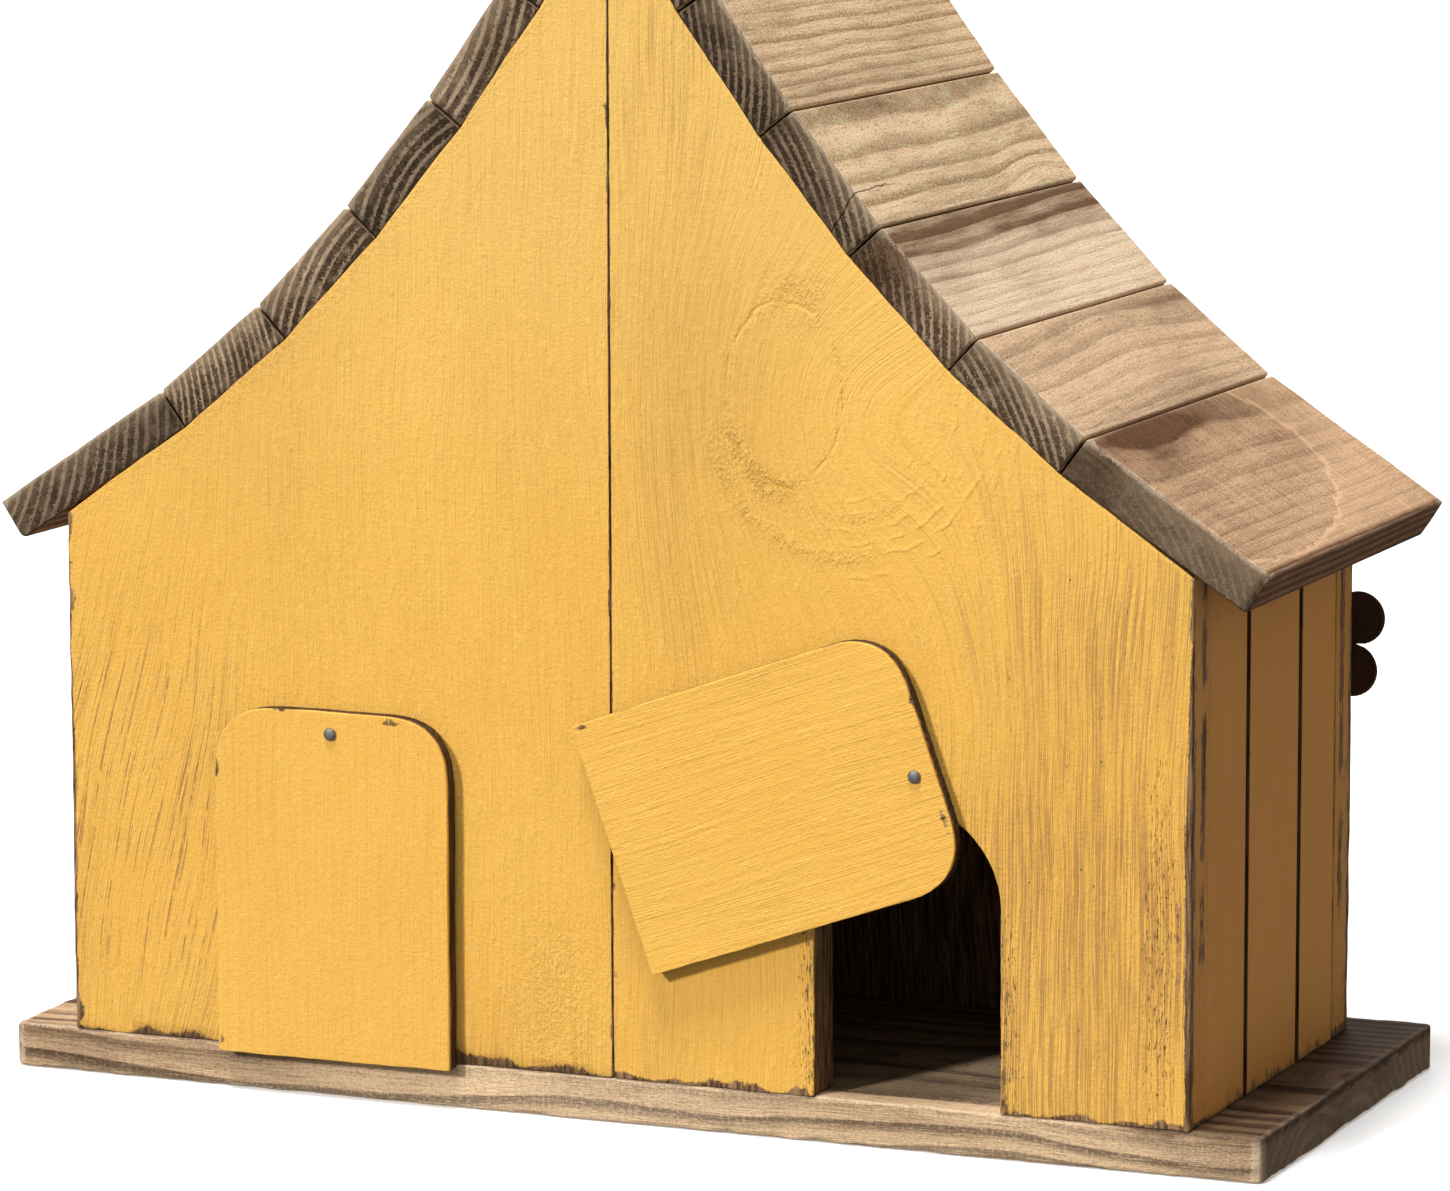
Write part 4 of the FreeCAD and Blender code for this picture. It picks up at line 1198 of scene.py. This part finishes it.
SLAT_ARCS = {("right", 0): ((18.0, -40.0), (38.0, 83.0))}
SLAT_CRACKS = {("right", 3): (28.0, -52.0)}
SLAT_BENDS = {
    ("right", 3): [(34, 50, 9, 24, 2.2)],
    ("right", 1): [(14, 10, 16, 50, 1.2)],
}
# The strip along the upper edge of right slat 2 is partly real stain and partly painted shadow under the slat above it;
# the strip along the eave slat's outer edge is painted shade.
SLAT_STAINS = {
    ("right", 4): [(33, -20, 5, 60, 0.35)],
    ("right", 3): [(2, 0, 4, 90, 0.3)],
    ("right", 2): [(1, 0, 7, 120, 1.1), (8, -35, 7, 60, 0.6), (10, 45, 6, 40, 0.4), (21, -60, 6, 16, 0.3)],
    ("right", 1): [(4, 50, 8, 60, 0.3), (36, 0, 6, 90, 0.3)],
    ("right", 0): [(5, -48, 7, 38, 0.85), (12, -46, 6, 30, 0.5), (6, 15, 16, 60, 0.4), (26, -60, 12, 16, 0.25),
                   (59.6, 0, 1.8, 120, 1.5)],
}

for number, side in enumerate(SIDES):
    for index in range(len(SLAT_SLOPES)):
        key = (side, index)
        lean, spacing, reach, light, dark, contrast = SLAT_GRAIN[key]
        seed = 10 + 6 * number + index
        end_share, end_contrast = SLAT_ENDS.get(key, (1.0, 1.0))
        tones = (tuple(v * min(end_share, 1.4) for v in PALE_END), tuple(v * end_share for v in DARK_END))
        wood = make_weathered_wood(f"roof_wood_{side}_{index}", seed, spacing, light, dark, tones, contrast, end_contrast,
                                   SLAT_SAWN.get(key, 0.14), SLAT_ARCS.get(key), SLAT_CRACKS.get(key))
        traits = slat_traits(side, index, lean, reach, SLAT_BENDS.get(key, ()), SLAT_STAINS.get(key, ()))
        make_slat(side, index, wood, seed, traits)

steel = make_metal("nail_steel", (0.24, 0.235, 0.225), 0.45, 2)
dark_metal = make_metal("dark_petals", (0.11, 0.062, 0.045), 0.42, 5)
button_metal = make_metal("dark_button", (0.10, 0.055, 0.03), 0.38, 6)
for number, side in enumerate(SIDES):
    make_gable("back", side, make_paint(f"back_paint_{side}", 3 + number, PAINT, knot=side == "right", fade=(120, 290)), 3 + number)
    make_gable("front", side, make_paint(f"front_paint_{side}", 5 + number, PAINT, fade=(120, 290)), 5 + number)
    make_side_wall(side, make_paint(f"side_paint_{side}", 7 + number, SHADED_SIDE_PAINT[side], 0.7), 7 + number)
    make_door_nail(side, steel)
make_door("left", 0.2, 0.0, make_paint("door_paint_left", 21, PAINT, 0.6, 0.6), 41)
make_door("right", 4.3, 70.5, make_paint("door_paint_right", 22, PAINT, 0.8, 0.8), 42)
BASE_END = (0.74, 0.54, 0.37), (0.28, 0.19, 0.12)
make_base(make_weathered_wood("base_wood", 31, 4.8, (0.77, 0.535, 0.32), (0.24, 0.165, 0.108), BASE_END, 1.0, 0.8, speckle=0.6))
# The divider's wood has much darker tones than the outside wood, as painted shade inside the house.
make_divider(make_weathered_wood("divider_wood", 32, 3.0, (0.30, 0.20, 0.12), (0.16, 0.10, 0.06), (PALE_END, DARK_END)))
make_flower(dark_metal, button_metal)
for name, node in frame["nodes"].items():
    if not node.hide_render:
        for slot in node.material_slots:
            slot.material = steel

# ---------------------------------------------------------------- stage

def make_camera():
    data = bpy.data.cameras.new("camera")
    data.sensor_width = 36
    data.lens = CAMERA_LENS
    camera = bpy.data.objects.new("camera", data)
    camera.location = Vector(CAMERA_PLACE) * MM
    turn = Matrix.Rotation(math.radians(CAMERA_YAW), 3, "Z")
    tilt = Matrix.Rotation(math.radians(90 - CAMERA_PITCH), 3, "X")
    roll = Matrix.Rotation(-math.radians(CAMERA_ROLL), 3, "Z")
    camera.rotation_euler = (turn @ tilt @ roll).to_euler()
    bpy.context.scene.collection.objects.link(camera)
    bpy.context.scene.camera = camera


def make_sun(name, towards, energy, angle, rgb=(1, 1, 1)):
    data = bpy.data.lights.new(name, "SUN")
    data.energy = energy
    data.angle = math.radians(angle)
    data.color = rgb
    lamp = bpy.data.objects.new(name, data)
    lamp.rotation_euler = Vector(towards).to_track_quat("Z", "Y").to_euler()
    bpy.context.scene.collection.objects.link(lamp)


def make_floor():
    """A wide pale floor, a hair below the base's wavy underside, that turns up into a backdrop far from the object."""
    rings = [(0.4, 0), (0.9, 0), (2, 0), (4, 0), (6, 0), (7, 0.12), (8, 0.6), (8.7, 1.3), (9, 2.2)]
    count = 96
    points = [(0, 0, 0)]
    for radius, height in rings:
        points += [(radius * math.cos(2 * math.pi * k / count), radius * math.sin(2 * math.pi * k / count), height)
                   for k in range(count)]
    faces = [(0, 1 + k, 1 + (k + 1) % count) for k in range(count)]
    for ring in range(len(rings) - 1):
        a, b = 1 + ring * count, 1 + (ring + 1) * count
        faces += [(a + k, b + k, b + (k + 1) % count, a + (k + 1) % count) for k in range(count)]
    mesh = bpy.data.meshes.new("floor")
    mesh.from_pydata(points, [], faces)
    mesh.update()
    floor = bpy.data.objects.new("floor", mesh)
    floor.data.materials.append(make_floor_paint())
    bpy.context.scene.collection.objects.link(floor)
    floor.location.z = -0.2 * MM
    floor.visible_diffuse = False
    floor.visible_glossy = False
    floor.visible_shadow = False


def make_floor_paint():
    s = Shader("floor")
    mottle = s.noise(s.node("ShaderNodeNewGeometry").outputs["Position"], 3)
    s.feed(s.surface.inputs["Base Color"], s.mix(mottle, (0.86, 0.86, 0.86), (0.90, 0.90, 0.90)))
    s.surface.inputs["Roughness"].default_value = 0.9
    s.surface.inputs["Emission Color"].default_value = (1, 1, 1, 1)
    s.surface.inputs["Emission Strength"].default_value = 0.25
    return s.material


make_camera()
make_sun("key", (-0.38, -0.82, 0.42), 2.42, 7)
make_sun("top", (-0.04, -0.25, 1.0), 2.75, 16)
make_sun("fill", (-0.3, 0.9, 0.3), 0.8, 30)
make_floor()
world = bpy.data.worlds.new("studio")
world.use_nodes = True
world.node_tree.nodes["Background"].inputs["Color"].default_value = (1, 0.97, 0.93, 1)
world.node_tree.nodes["Background"].inputs["Strength"].default_value = 0.33
bpy.context.scene.world = world
bpy.context.scene.view_settings.view_transform = "Standard"

import json
